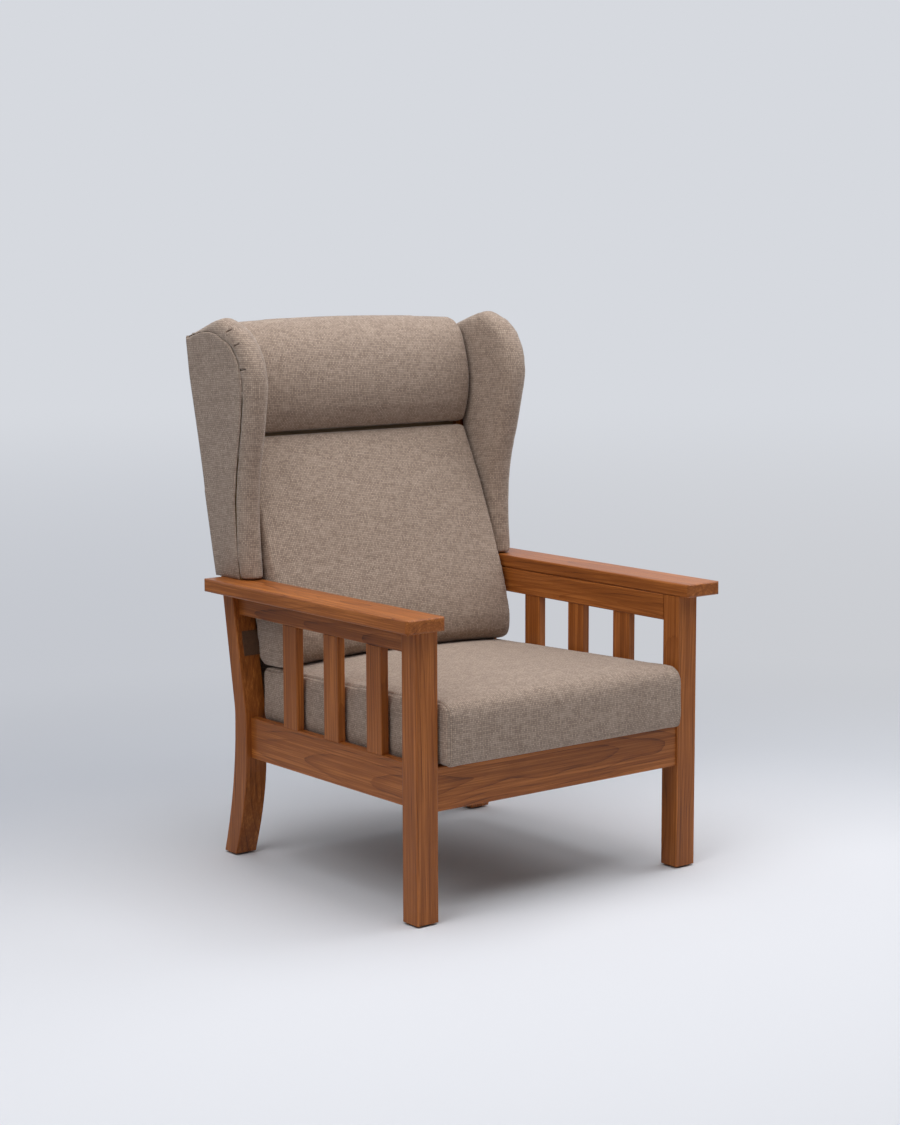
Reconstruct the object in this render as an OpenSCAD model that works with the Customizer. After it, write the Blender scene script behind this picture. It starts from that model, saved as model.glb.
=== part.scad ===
// Wing-back fireside chair with open show-wood arms and a loose seat cushion.
// Millimetres. +X is the right-hand side seen from the front, +Y is the back, +Z is up.
// Depths are worked out from the front face of the front legs, and the finished chair is
// then moved so that the middle of its plan stands on the origin.

/* [Overall] */
// Clear width between the two front legs
seat_w = 608; // [560:1:660]
// Front face of the front legs to the front face of the back posts at seat level
frame_d = 600; // [560:1:640]
// Floor to the top of the arms
arm_top_z = 585; // [560:1:620]
// Floor to the top of the wings
back_top_z = 1113; // [1085:1:1145]
// Lean of the back posts above the seat, in degrees
rake_angle = 10.6; // [9:0.1:12]

/* [Legs] */
// Width of a front leg
leg_w = 50; // [44:1:60]
// Depth of a front leg
leg_d = 46; // [44:1:60]
// Width of a back post
post_w = 50; // [44:1:60]
// Depth of a back post at the seat
post_d = 42; // [40:1:50]
// Depth of a back post at its top end
post_top_d = 24; // [23:1:30]
// How far the outer face of a back post lies inside that of the front leg
post_inset = 17; // [10:1:24]
// How far the front edge of the foot sweeps back
foot_sweep_front = 45; // [20:1:60]
// How far the back edge of the foot sweeps back
foot_sweep_back = 46.5; // [20:0.5:60]
// Radius of the eased edges of the timber
edge_r = 2.5; // [1.5:0.5:4]

/* [Rails] */
// Thickness of the side and arm rails
rail_t = 20; // [18:1:22]
// Height of the seat rails
rail_h = 85; // [75:1:95]
// Floor to the underside of the seat rails
rail_z = 213; // [190:1:230]
// Height of the rail under each arm
arm_rail_h = 52; // [44:1:60]
// Thickness of the front and back seat rails
cross_rail_t = 22; // [20:1:24]
// How far the front rail lies behind the face of the front legs
front_rail_setback = 5; // [2:1:8]
// How far the back seat rail lies in front of the back edge of the posts
back_rail_setback = 4; // [2:1:6]

/* [Joinery] */
// Thickness of the rail tenons
tenon_t = 8; // [6:1:9]
// Length of the rail tenons
tenon_l = 20; // [15:1:24]
// Shoulder above and below each rail tenon
tenon_shoulder = 10; // [6:1:14]
// Gap round a tenon in its mortise
fit_gap = 0.15; // [0.1:0.05:0.3]
// Gap left for glue at the end of a tenon
glue_gap = 1; // [0.5:0.5:2]

/* [Arms] */
// Width of an arm
arm_w = 89; // [80:1:100]
// Thickness of an arm
arm_t = 27; // [24:1:32]
// How far an arm reaches in front of the leg
arm_overhang = 25; // [15:1:26]
// How far an arm runs on behind the front of the back posts at seat level
arm_tail = 65; // [50:1:75]
// Radius of the eased edges of an arm
arm_edge_r = 4; // [2:0.5:6]
// Radius of the corners of an arm seen from above
arm_corner_r = 7; // [6:0.5:12]
// Width of the leg tenon under an arm
arm_tenon_w = 26; // [20:1:34]
// Depth of the leg tenon under an arm
arm_tenon_d = 24; // [18:1:30]
// Height of the leg tenon under an arm
arm_tenon_h = 14; // [10:1:18]

/* [Slats] */
// Width of a slat
slat_w = 49; // [40:1:56]
// Thickness of a slat
slat_t = 18; // [14:1:18]
// Distance from slat to slat
slat_pitch = 141.5; // [130:0.5:150]
// Gap between the front leg and the first slat
slat_start = 104; // [90:1:115]
// Length of a slat tenon
slat_tenon_l = 15; // [10:1:18]
// Shoulder round a slat tenon
slat_shoulder = 5; // [4:0.5:6]

/* [Seat cushion] */
// How far the cushion stands in front of the front legs
seat_overhang = 27; // [26:1:40]
// Gap between the cushion and each front leg
seat_side_gap = 4; // [3:0.5:8]
// Height of the cushion at its front edge
seat_front_h = 122; // [110:1:130]
// Height of the cushion at its back edge
seat_rear_h = 100; // [90:1:108]
// Rise of the top in the middle
seat_crown = 18; // [10:1:24]
// Bulge of the front face in the middle
seat_front_bulge = 3; // [1:0.5:6]
// Bulge of the side panels between their seams
side_bulge = 3; // [1:0.5:4]
// Radius of the rolled front edge
roll_edge_r = 30; // [20:1:40]
// Radius of the lower edges of the cushion
low_edge_r = 10; // [6:1:14]
// Wadding between a foam core and its cover
wadding_t = 12; // [8:1:16]

/* [Back cushion] */
// Thickness of the cushion at its fullest, low down
lumbar_t = 118; // [100:1:125]
// Radius of its rounded lower end
lumbar_end_r = 33; // [26:1:36]
// From the top of the wings down to the seam between the back cushion and the head roll
crease_drop = 247; // [240:1:260]
// Thickness of the back cushion and head roll at that seam
crease_t = 30; // [24:1:36]
// How far the middle of the back cushion stands forward of its sides
back_crown = 15; // [8:1:20]

/* [Head roll] */
// Thickness of the roll at its fullest
roll_t = 70; // [56:1:80]
// Height of the roll
roll_h = 233; // [225:1:240]
// Rise of the top of the roll in the middle
roll_top_crown = 10; // [4:1:12]

/* [Wings] */
// Depth of a wing at its widest
wing_d = 226; // [205:1:240]
// Thickness of a wing at the arm
wing_t = 50; // [46:1:56]
// How far the wing leans out at the top
wing_flare = 19; // [8:1:24]
// Fall of the wing's top edge from its peak to the back
wing_top_fall = 37; // [30:1:44]
// Thickness of the board inside a wing
wing_board_t = 9; // [6:1:10]
// Padding over the outer face of the board
wing_panel_t = 3; // [2:0.5:5]
// Padding in front of the board
wing_nose = 37; // [32:1:44]

/* [Back frame] */
// Thickness of the panel that closes the outside back
back_panel_t = 6; // [4:0.5:6]
// Height of the three rails between the back posts
back_rail_h = 40; // [34:1:46]
// Thickness of the lower rail of the back
lower_rail_t = 20; // [16:1:20]
// Thickness of the middle and top rails of the back
upper_rail_t = 14; // [10:1:14]

/* [Webbing] */
// Width of a webbing strap
strap_w = 50; // [40:1:60]
// Thickness of a webbing strap
strap_t = 2; // [1.5:0.5:3]
// Number of straps under the seat
seat_straps = 6; // [4:1:6]

/* [Glides and screws] */
// Thickness of a glide
glide_t = 4; // [3:0.5:6]
// Radius of a glide
glide_r = 19; // [14:0.5:20]
// Radius of a wood screw
screw_r = 2.2; // [1.5:0.1:2.5]
// Length of a wood screw
screw_l = 38; // [30:1:40]

/* [Hidden] */

// How far every cut runs past the face that it opens
over = 1;
// Gap between soft pieces and what they lie against
rest_gap = 0.35;
// Gap between the back cushion and the seat cushion below it
tuck_gap = 1;
// Gap round a board let into padding
let_in_gap = 0.3;

arm_z = arm_top_z - arm_t;
rail_top_z = rail_z + rail_h;
seat_z = rail_top_z + strap_t + rest_gap;
lumbar_z = seat_z + seat_rear_h + tuck_gap + rest_gap;
crease_z = back_top_z - crease_drop;
leg_x = seat_w / 2;
post_x = leg_x + leg_w - post_inset - post_w;
post_out_x = post_x + post_w;
rail_out_x = leg_x + rail_t;
tenon_x = leg_x + (rail_t - tenon_t) / 2;

// The posts stand upright beside the seat rails, then bend into their lean
bend_l = 24;
sweep_front_z = rail_z - 8;
sweep_back_z = rail_top_z - 13;
foot_curve_front = 1.65;
foot_curve_back = 1.9;
post_top_z = back_top_z - 45;
lean = tan(rake_angle);
function lean_run(z) = let (t = z - rail_top_z)
    t <= 0 ? 0 : t < bend_l ? lean * t * t / (2 * bend_l) : lean * (t - bend_l / 2);
function sweep(z, top, curve) = z >= top ? 0 : pow((top - z) / (top - glide_t), curve);
function post_front(z) = frame_d + lean_run(z)
    + foot_sweep_front * sweep(z, sweep_front_z, foot_curve_front);
function post_depth(z) = post_d
    - (post_d - post_top_d) * max(0, z - rail_top_z) / (back_top_z - rail_top_z);
function back_line(z) = frame_d + lean_run(z) + post_depth(z)
    + foot_sweep_back * sweep(z, sweep_back_z, foot_curve_back);

// Where padding comes to rest against the webbing on the posts
function back_face(z) = post_front(z) - strap_t - rest_gap;

back_panel_top_z = back_top_z - 35;
plan_back = back_line(back_panel_top_z);
plan_y = (seat_overhang - plan_back) / 2;

slat_front = [for (i = [0 : 2]) leg_d + slat_start + i * slat_pitch];
arm_rail_z = arm_z - arm_rail_h;

module place() { translate([0, plan_y, 0]) children(); }
module on_side(side) { place() mirror([side < 0 ? 1 : 0, 0, 0]) children(); }
module block(low, high) { translate(low) cube(high - low); }

// Outlines
function arc(middle, r, from, to, steps) =
    [for (i = [0 : steps]) let (a = from + (to - from) * i / steps)
        middle + [r * cos(a), r * sin(a)]];
function eased(low, high, r) = concat(
    arc([high[0] - r, high[1] - r], r, 0, 90, 3),
    arc([low[0] + r, high[1] - r], r, 90, 180, 3),
    arc([low[0] + r, low[1] + r], r, 180, 270, 3),
    arc([high[0] - r, low[1] + r], r, 270, 360, 3));

// A smooth curve through a row of points, with the given steps from one to the next
function curve(points, steps) = let (last = len(points) - 1) concat(
    [for (i = [0 : last - 1], j = [0 : steps - 1])
        let (a = points[max(i - 1, 0)], b = points[i], c = points[i + 1], d = points[min(i + 2, last)],
            t = j / steps)
        (2 * b + (c - a) * t + (2 * a - 5 * b + 4 * c - d) * t * t
            + (3 * b - a - 3 * c + d) * t * t * t) / 2],
    [points[last]]);

// Bars with eased long edges, along Z, Y and X
module bar_z(low, high, r) {
    translate([0, 0, low[2]]) linear_extrude(high[2] - low[2])
        polygon(eased([low[0], low[1]], [high[0], high[1]], r));
}
module bar_y(low, high, r) {
    translate([0, high[1], 0]) rotate([90, 0, 0]) linear_extrude(high[1] - low[1])
        polygon(eased([low[0], low[2]], [high[0], high[2]], r));
}
module bar_x(low, high, r) {
    translate([low[0], 0, 0]) rotate([90, 0, 90]) linear_extrude(high[0] - low[0])
        polygon(eased([low[1], low[2]], [high[1], high[2]], r));
}
// A side view in Y and Z, carried from one X to another
module side_view(points, from_x, to_x) {
    translate([from_x, 0, 0]) rotate([90, 0, 90]) linear_extrude(to_x - from_x) polygon(points);
}
// A closed skin through rings of points, with a fan of triangles over each end from the
// point given in Y and Z, or else from the middle of the ring
module skin(rings, hub = []) {
    n = len(rings[0]);
    last = len(rings) - 1;
    function centre(ring) = hub != [] ? concat(ring[0][0], hub) :
        [for (k = [0 : 2]) [for (p = ring) p[k]] * [for (p = ring) 1] / n];
    points = concat([for (ring = rings) each ring], [centre(rings[0]), centre(rings[last])]);
    sides = [for (r = [0 : last - 1], i = [0 : n - 1])
        let (j = (i + 1) % n, a = r * n + i, b = r * n + j, c = b + n, d = a + n)
        each [[a, b, c], [a, c, d]]];
    first_end = [for (i = [0 : n - 1]) [n * (last + 1), (i + 1) % n, i]];
    last_end = [for (i = [0 : n - 1]) [n * (last + 1) + 1, last * n + i, last * n + (i + 1) % n]];
    polyhedron(points, concat(sides, first_end, last_end), convexity = 6);
}
// Countersunk screw pointing along +Z from the top of its head, or the hole it is driven in,
// which has a gap round it and a mouth in front of the head
module wood_screw(gap = 0, mouth = 0) {
    head_r = 2 * screw_r + gap;
    cylinder(h = screw_l + gap, r = screw_r + gap, $fn = 20);
    cylinder(h = screw_r, r1 = head_r, r2 = screw_r + gap, $fn = 20);
    if (mouth > 0) translate([0, 0, -mouth]) cylinder(h = mouth, r = head_r, $fn = 20);
}

// Front leg: a tenon into the arm above, and mortises for three rails
module front_leg(side) {
    color("sienna") on_side(side) {
        difference() {
            bar_z([leg_x, 0, glide_t], [leg_x + leg_w, leg_d, arm_z], edge_r);
            block([tenon_x - fit_gap, leg_d - tenon_l - glue_gap, rail_z + tenon_shoulder - fit_gap],
                [tenon_x + tenon_t + fit_gap, leg_d + over, rail_top_z - tenon_shoulder + fit_gap]);
            block([tenon_x - fit_gap, leg_d - tenon_l - glue_gap, arm_rail_z + tenon_shoulder - fit_gap],
                [tenon_x + tenon_t + fit_gap, leg_d + over, arm_z - tenon_shoulder + fit_gap]);
            block([leg_x - over, front_tenon_y - fit_gap, rail_z + tenon_shoulder - fit_gap],
                [leg_x + tenon_l + glue_gap, front_tenon_y + tenon_t + fit_gap,
                 rail_top_z - tenon_shoulder + fit_gap]);
            glide_hole(leg_x + leg_w / 2, leg_d / 2);
        }
        arm_tenon(0, arm_z);
    }
}
front_tenon_y = front_rail_setback + (cross_rail_t - tenon_t) / 3;
module arm_tenon(gap, low) {
    block([leg_x + (leg_w - arm_tenon_w) / 2 - gap, (leg_d - arm_tenon_d) / 2 - gap, low],
        [leg_x + (leg_w + arm_tenon_w) / 2 + gap, (leg_d + arm_tenon_d) / 2 + gap,
         arm_z + arm_tenon_h + (gap > 0 ? glue_gap : 0)]);
}

// Back post: a sabre foot, upright at the seat, leaning and tapering above.
// Each ring is the eased section of the post at one height.
foot_steps = 9;
post_heights = concat(
    [for (i = [0 : foot_steps - 1]) glide_t + (sweep_front_z - glide_t) * i / foot_steps],
    [sweep_front_z, (sweep_front_z + sweep_back_z) / 2, sweep_back_z, rail_top_z,
     rail_top_z + bend_l / 3, rail_top_z + bend_l * 2 / 3, rail_top_z + bend_l, arm_z, arm_top_z]);
function post_ring(z, back_cut) = [for (p = eased([post_x, post_front(z)],
    [post_out_x, back_line(z) - back_cut], edge_r)) [p[0], p[1], z]];
back_cut = back_panel_t + let_in_gap;
module back_post(side) {
    color("sienna") on_side(side) difference() {
        skin(concat([for (z = post_heights) post_ring(z, 0)],
            [post_ring(arm_top_z + let_in_gap, back_cut), post_ring(post_top_z, back_cut)]));
        block([tenon_x - fit_gap, frame_d - over, rail_z + tenon_shoulder - fit_gap],
            [tenon_x + tenon_t + fit_gap, frame_d + tenon_l + glue_gap,
             rail_top_z - tenon_shoulder + fit_gap]);
        arm_rail_tenon(fit_gap, glue_gap, over);
        cross_tenon(back_rail_y, rail_z, rail_top_z, fit_gap);
        for (rail = back_rails) leaning_tenon(rail, fit_gap);
        glide_hole(post_x + post_w / 2, foot_middle);
        for (z = wing_screw_heights) wing_screw_at(z, fit_gap);
    }
}

// Seat side rail, with a tenon at each end and a mortise for each slat
module side_rail(side) {
    color("sienna") on_side(side) difference() {
        union() {
            bar_y([leg_x, leg_d, rail_z], [rail_out_x, frame_d, rail_top_z], edge_r);
            block([tenon_x, leg_d - tenon_l, rail_z + tenon_shoulder],
                [tenon_x + tenon_t, frame_d + tenon_l, rail_top_z - tenon_shoulder]);
        }
        for (y = slat_front) slat_tenon(y, rail_top_z - slat_tenon_l - glue_gap, rail_top_z + over, fit_gap);
        for (s = block_screws_side) block_screw_side(s, fit_gap);
    }
}

// Rail under the arm, cut at its back end to the lean of the post
function lean_strip(z0, z1, from, to) =
    [[post_front(z0) + from, z0], [post_front(z0) + to, z0],
     [post_front(z1) + to, z1], [post_front(z1) + from, z1]];
module arm_rail_tenon(gap, end_gap, run) {
    side_view(lean_strip(arm_rail_z + tenon_shoulder - gap, arm_z - tenon_shoulder + gap,
        -run, tenon_l + end_gap), tenon_x - gap, tenon_x + tenon_t + gap);
}
module arm_rail(side) {
    color("sienna") on_side(side) difference() {
        union() {
            difference() {
                bar_y([leg_x, leg_d, arm_rail_z], [rail_out_x, post_front(arm_z), arm_z], edge_r);
                side_view(lean_strip(arm_rail_z - over, arm_z + over, 0, post_d),
                    leg_x - over, rail_out_x + over);
            }
            block([tenon_x, leg_d - tenon_l, arm_rail_z + tenon_shoulder],
                [tenon_x + tenon_t, leg_d + over, arm_z - tenon_shoulder]);
            arm_rail_tenon(0, 0, over);
        }
        for (y = slat_front) slat_tenon(y, arm_rail_z - over, arm_rail_z + slat_tenon_l + glue_gap, fit_gap);
        for (y = arm_screw_places) arm_screw_at(y, fit_gap);
    }
}

// Slat of the open side
slat_x = rail_out_x - slat_t;
module slat_tenon(y, low, high, gap) {
    block([slat_x + slat_shoulder - gap, y + slat_shoulder - gap, low],
        [rail_out_x - slat_shoulder + gap, y + slat_w - slat_shoulder + gap, high]);
}
module arm_slat(side, number) {
    y = slat_front[number - 1];
    color("sienna") on_side(side) {
        bar_z([slat_x, y, rail_top_z], [rail_out_x, y + slat_w, arm_rail_z], edge_r);
        slat_tenon(y, rail_top_z - slat_tenon_l, arm_rail_z + slat_tenon_l, 0);
    }
}

// Arm: a flat board with all its edges eased, housed over the leg and round the post
arm_front = -arm_overhang;
arm_back = frame_d + arm_tail;
module arm_top(side) {
    low = [leg_x, arm_front, arm_z];
    high = [leg_x + arm_w, arm_back, arm_top_z];
    color("sienna") on_side(side) difference() {
        intersection() {
            bar_z(low, high, arm_corner_r);
            bar_y(low - [0, over, 0], high + [0, over, 0], arm_edge_r);
            bar_x(low - [over, 0, 0], high + [over, 0, 0], arm_edge_r);
        }
        arm_tenon(fit_gap, arm_z - over);
        block([leg_x - over, post_front(arm_z) - fit_gap, arm_z - over],
            [post_out_x + fit_gap, arm_back + over, arm_top_z + over]);
        for (y = arm_screw_places) arm_screw_at(y, fit_gap);
    }
}
// Screws that draw the arm down on its rail, sunk in the rail's underside
arm_screw_places = [leg_d + slat_start / 2, slat_front[1] - (slat_pitch - slat_w) / 2,
    slat_front[2] + slat_w + (slat_pitch - slat_w) / 2];
module arm_screw_at(y, gap) {
    head_z = arm_z + arm_t / 2 - screw_l;
    translate([leg_x + rail_t / 2, y, head_z]) wood_screw(gap, gap > 0 ? head_z - arm_rail_z + over : 0);
}
module arm_screws() {
    color("silver") for (side = [-1, 1]) on_side(side)
        for (y = arm_screw_places) arm_screw_at(y, 0);
}

// Front rail, shown between the legs below the cushion
module front_rail() {
    y = front_rail_setback;
    color("sienna") place() difference() {
        union() {
            bar_x([-leg_x, y, rail_z], [leg_x, y + cross_rail_t, rail_top_z], edge_r);
            block([-leg_x - tenon_l, front_tenon_y, rail_z + tenon_shoulder],
                [leg_x + tenon_l, front_tenon_y + tenon_t, rail_top_z - tenon_shoulder]);
        }
        for (side = [0, 1]) mirror([side, 0, 0]) block_screw_front(fit_gap);
    }
}

// Back seat rail between the posts
back_rail_y = frame_d + post_d - back_rail_setback - cross_rail_t;
cross_tenon_l = tenon_x - post_x - 2 * glue_gap - fit_gap;
module cross_tenon(y, z0, z1, gap) {
    block([post_x - (gap > 0 ? over : 0), y + (cross_rail_t - tenon_t) / 2 - gap, z0 + tenon_shoulder - gap],
        [post_x + cross_tenon_l + (gap > 0 ? glue_gap : 0), y + (cross_rail_t + tenon_t) / 2 + gap,
         z1 - tenon_shoulder + gap]);
}
module back_seat_rail() {
    color("sienna") place() difference() {
        union() {
            bar_x([-post_x, back_rail_y, rail_z], [post_x, back_rail_y + cross_rail_t, rail_top_z], edge_r);
            for (side = [0, 1]) mirror([side, 0, 0]) cross_tenon(back_rail_y, rail_z, rail_top_z, 0);
        }
        for (side = [0, 1]) mirror([side, 0, 0]) block_screw_back(fit_gap);
    }
}

// Rails of the back frame lean with the posts: low end, thickness, distance behind the post's face
back_rail_lead = 3;
lower_rail_share = 0.07;
back_rails = [
    [lumbar_z + (crease_z - lumbar_z) * lower_rail_share - back_rail_h / 2, lower_rail_t],
    [crease_z - back_rail_h / 2, upper_rail_t],
    [post_top_z - back_rail_h, upper_rail_t]];
leaning_shoulder = tenon_shoulder / 2;
leaning_cheek_share = 1 / 5;
module leaning_tenon(rail, gap) {
    cheek = rail[1] * leaning_cheek_share;
    side_view(lean_strip(rail[0] + leaning_shoulder - gap, rail[0] + back_rail_h - leaning_shoulder + gap,
        back_rail_lead + cheek - gap, back_rail_lead + rail[1] - cheek + gap),
        post_x - (gap > 0 ? over : 0), post_x + cross_tenon_l + (gap > 0 ? glue_gap : 0));
}
module leaning_rail(rail) {
    color("burlywood") place() {
        side_view(lean_strip(rail[0], rail[0] + back_rail_h, back_rail_lead, back_rail_lead + rail[1]),
            -post_x, post_x);
        for (side = [0, 1]) mirror([side, 0, 0]) leaning_tenon(rail, 0);
    }
}

// Corner blocks glued and screwed inside the seat frame
corner_l = 60;
corner_h = rail_h / 2;
corner_z = rail_z + (rail_h - corner_h) / 2;
front_corner_y = front_rail_setback + cross_rail_t;
function corner_front() = [[leg_x, front_corner_y], [leg_x, front_corner_y + corner_l],
    [leg_x - corner_l, front_corner_y]];
function corner_back() = [[leg_x, frame_d], [post_x, frame_d], [post_x, back_rail_y],
    [post_x - corner_l, back_rail_y], [leg_x, frame_d - corner_l]];
// Screws run square to each rail, from the sloping face of the block
block_screw_in = corner_l / 3;
block_screw_mouth = corner_l / 4;
screw_z_share = 0.3;
block_screws_side = [
    [front_corner_y + corner_l - block_screw_in, corner_z + corner_h * screw_z_share],
    [frame_d - block_screw_in, corner_z + corner_h * screw_z_share]];
module block_screw_side(s, gap) {
    translate([leg_x + rail_t * 3 / 4 - screw_l, s[0], s[1]]) rotate([0, 90, 0])
        wood_screw(gap, gap > 0 ? block_screw_mouth : 0);
}
module block_screw_front(gap) {
    translate([leg_x - corner_l + block_screw_in, front_corner_y - cross_rail_t * 3 / 4 + screw_l,
        corner_z + corner_h * (1 - screw_z_share)]) rotate([90, 0, 0])
        wood_screw(gap, gap > 0 ? block_screw_mouth : 0);
}
module block_screw_back(gap) {
    translate([post_x - corner_l / 2, back_rail_y + cross_rail_t * 3 / 4 - screw_l,
        corner_z + corner_h * (1 - screw_z_share)]) rotate([-90, 0, 0])
        wood_screw(gap, gap > 0 ? block_screw_mouth : 0);
}
module block_screws(gap) {
    for (s = block_screws_side) block_screw_side(s, gap);
    block_screw_front(gap);
    block_screw_back(gap);
}
module corner_blocks() {
    color("burlywood") for (side = [-1, 1]) on_side(side) difference() {
        translate([0, 0, corner_z]) linear_extrude(corner_h) {
            polygon(corner_front());
            polygon(corner_back());
        }
        block_screws(fit_gap);
    }
}
module corner_block_screws() {
    color("silver") for (side = [-1, 1]) on_side(side) block_screws(0);
}

// Webbing across the seat from the front rail to the back rail
seat_strap_pitch = (2 * post_x - strap_w) / (seat_straps + 1);
module seat_webbing() {
    color("dimgray") place() for (i = [0 : seat_straps - 1])
        translate([(i - (seat_straps - 1) / 2) * seat_strap_pitch - strap_w / 2,
            front_rail_setback + edge_r, rail_top_z])
            cube([strap_w, back_line(rail_top_z) - back_rail_setback - back_panel_t - rest_gap
                - front_rail_setback - edge_r, strap_t]);
}
// Webbing across the faces of the back posts
back_strap_shares = [0.1, 0.46, 0.66, 0.84];
roll_strap_shares = [0.3, 0.7];
back_strap_heights = concat(
    [for (s = back_strap_shares) lumbar_z + (crease_z - lumbar_z) * s],
    [for (s = roll_strap_shares) crease_z + (post_top_z - crease_z) * s]);
module back_webbing() {
    color("dimgray") place() for (z = back_strap_heights)
        side_view(lean_strip(z - strap_w / 2, z + strap_w / 2, -strap_t, 0),
            -post_out_x + post_w / 4, post_out_x - post_w / 4);
}

// Wing outline in Y and Z. Depths are shares of the wing's depth, from its back edge,
// and heights are shares of the way from the arm to the top.
wing_z = arm_top_z + rest_gap;
wing_h = back_top_z - wing_z;
wing_front_shares = [[0.54, 0], [0.565, 0.13], [0.62, 0.29], [0.71, 0.42], [0.81, 0.52],
    [0.91, 0.635], [0.985, 0.73], [1, 0.795], [0.975, 0.862], [0.88, 0.934], [0.745, 0.973],
    [0.57, 1]];
wing_top_shares = [[0.29, 0.22], [0.5, 0.45], [0.8, 0.81], [0.93, 0.94], [1, 1.1]];
wing_steps = 2;
wing_front_n = (len(wing_front_shares) - 1) * wing_steps + 1;
wing_front_edge = curve([for (share = wing_front_shares) let (z = wing_z + wing_h * share[1])
    [back_line(z) - wing_d * share[0], z]], wing_steps);
wing_peak = wing_front_edge[wing_front_n - 1];
wing_corner_y = back_line(back_top_z - wing_top_fall);
wing_top_edge = [for (share = wing_top_shares) let (z = back_top_z - wing_top_fall * share[1])
    [min(wing_peak[0] + (wing_corner_y - wing_peak[0]) * share[0], back_line(z)), z]];
wing_back_shares = [0.75, 0.5, 0.25, 0];
wing_back_edge = [for (s = wing_back_shares) [back_line(wing_z + wing_h * s), wing_z + wing_h * s]];
wing_outline = concat(wing_front_edge, wing_top_edge, wing_back_edge);
// How strongly each point of the outline is drawn in towards the faces of the wing
wing_top_draw_shares = [0.9, 0.75, 0.55, 0.4, 0.2];
wing_draw_shares = concat([for (p = wing_front_edge) 1], wing_top_draw_shares,
    [for (p = wing_back_edge) 0]);
function inward(points, i) = i == 0 ? [1, 0] :
    let (n = len(points), d = points[(i + 1) % n] - points[i - 1]) [d[1], -d[0]] / norm(d);

// The outer face leans out towards the top, and the inner face about half as much
wing_flare_curve = 1.6;
inner_flare_share = 0.45;
wing_out_x = post_out_x + wing_board_t + wing_panel_t;
function wing_lean(z) = wing_flare * pow(max(0, (z - wing_z) / wing_h), wing_flare_curve);
wing_slices = [0, 0.06, 0.18, 0.34, 0.5, 0.66, 0.82, 0.94, 1];
module wing_form() {
    skin([for (s = wing_slices) let (r = wing_t / 2 * (1 - sqrt(1 - pow(2 * s - 1, 2))))
        [for (i = [0 : len(wing_outline) - 1])
            let (p = wing_outline[i] + inward(wing_outline, i) * wing_draw_shares[i] * r)
            [wing_out_x - wing_t * (1 - s)
                + wing_lean(p[1]) * (inner_flare_share + (1 - inner_flare_share) * s), p[0], p[1]]]]);
}
// Outline of the wing's board: the wing's own, drawn in by the padding on its front and top,
// up to its last point on the top edge, and then down the back edge
board_top_shares = [0.7, 0.5, 0.35, 0.3, 0.22];
board_draw_shares = concat([for (p = wing_front_edge) 1], board_top_shares);
function board_outline(extra) = [for (i = [0 : len(board_draw_shares) - 1])
    wing_outline[i] + inward(wing_outline, i) * (board_draw_shares[i] * wing_nose - extra)];
module board_slice(from_x, to_x, extra, back_run) {
    outline = board_outline(extra);
    foot = [0, extra > 0 ? -over : 0];
    side_view([for (i = [0 : len(outline) - 1]) outline[i] + (i == 0 ? foot : [0, 0]),
        for (p = wing_back_edge) p + [back_run, 0] + (p[1] > wing_z ? [0, 0] : foot)], from_x, to_x);
}
module wing_board(side) {
    color("burlywood") on_side(side) difference() {
        board_slice(post_out_x, post_out_x + wing_board_t, 0, -back_cut);
        for (z = wing_screw_heights) wing_screw_at(z, fit_gap);
    }
}
// Padding that wraps the inner face and front edge of the wing, with room for the post
post_room_z = post_top_z + let_in_gap;
panel_room_z = back_panel_top_z + let_in_gap;
panel_low_z = post_room_z - wing_nose;
module wing_pad(side) {
    color("rosybrown") on_side(side) difference() {
        wing_form();
        board_slice(post_out_x - let_in_gap, post_out_x + leg_w, let_in_gap, leg_w);
        side_view(concat([for (z = [wing_z - over, post_room_z]) [back_face(z), z]],
            [for (z = [post_room_z, wing_z - over]) [back_line(back_top_z) + over, z]]),
            0, post_out_x + let_in_gap);
        side_view(concat([for (z = [panel_low_z, panel_room_z]) [back_line(z) - back_cut, z]],
            [for (z = [panel_room_z, panel_low_z]) [back_line(back_top_z) + over, z]]),
            0, post_out_x + wing_board_t);
    }
}
// Cloth over thin padding on the outer face of the wing
module wing_panel(side) {
    color("rosybrown") on_side(side) intersection() {
        wing_form();
        board_slice(post_out_x + wing_board_t, post_out_x + leg_w, 0, over);
    }
}
wing_screw_shares = [0.12, 0.45, 0.78];
wing_screw_heights = [for (s = wing_screw_shares) wing_z + wing_h * s];
module wing_screw_at(z, gap) {
    translate([post_out_x + wing_board_t, (post_front(z) + back_line(z)) / 2 - back_cut / 2, z])
        rotate([0, -90, 0]) wood_screw(gap, gap > 0 ? over : 0);
}
module wing_screws() {
    color("silver") for (side = [-1, 1]) on_side(side)
        for (z = wing_screw_heights) wing_screw_at(z, 0);
}

// Panels that close the back: a wide one above the arms, a narrower one between the posts
module outside_back_panel() {
    half = post_out_x + wing_board_t - let_in_gap;
    color("rosybrown") place() side_view([
        [back_line(arm_top_z + let_in_gap) - back_panel_t, arm_top_z + let_in_gap],
        [back_line(arm_top_z + let_in_gap), arm_top_z + let_in_gap],
        [back_line(back_panel_top_z), back_panel_top_z],
        [back_line(back_panel_top_z) - back_panel_t, back_panel_top_z]], -half, half);
}
module lower_back_panel() {
    inset = back_rail_setback;
    high = arm_top_z + let_in_gap;
    color("rosybrown") place() side_view([
        [back_line(rail_top_z) - inset - back_panel_t, rail_top_z],
        [back_line(rail_top_z) - inset, rail_top_z],
        [back_line(rail_top_z + bend_l) - inset, rail_top_z + bend_l],
        [back_line(high) - inset, high], [back_line(high) - inset - back_panel_t, high],
        [back_line(rail_top_z + bend_l) - inset - back_panel_t, rail_top_z + bend_l]],
        -post_x + fit_gap, post_x - fit_gap);
}

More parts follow.
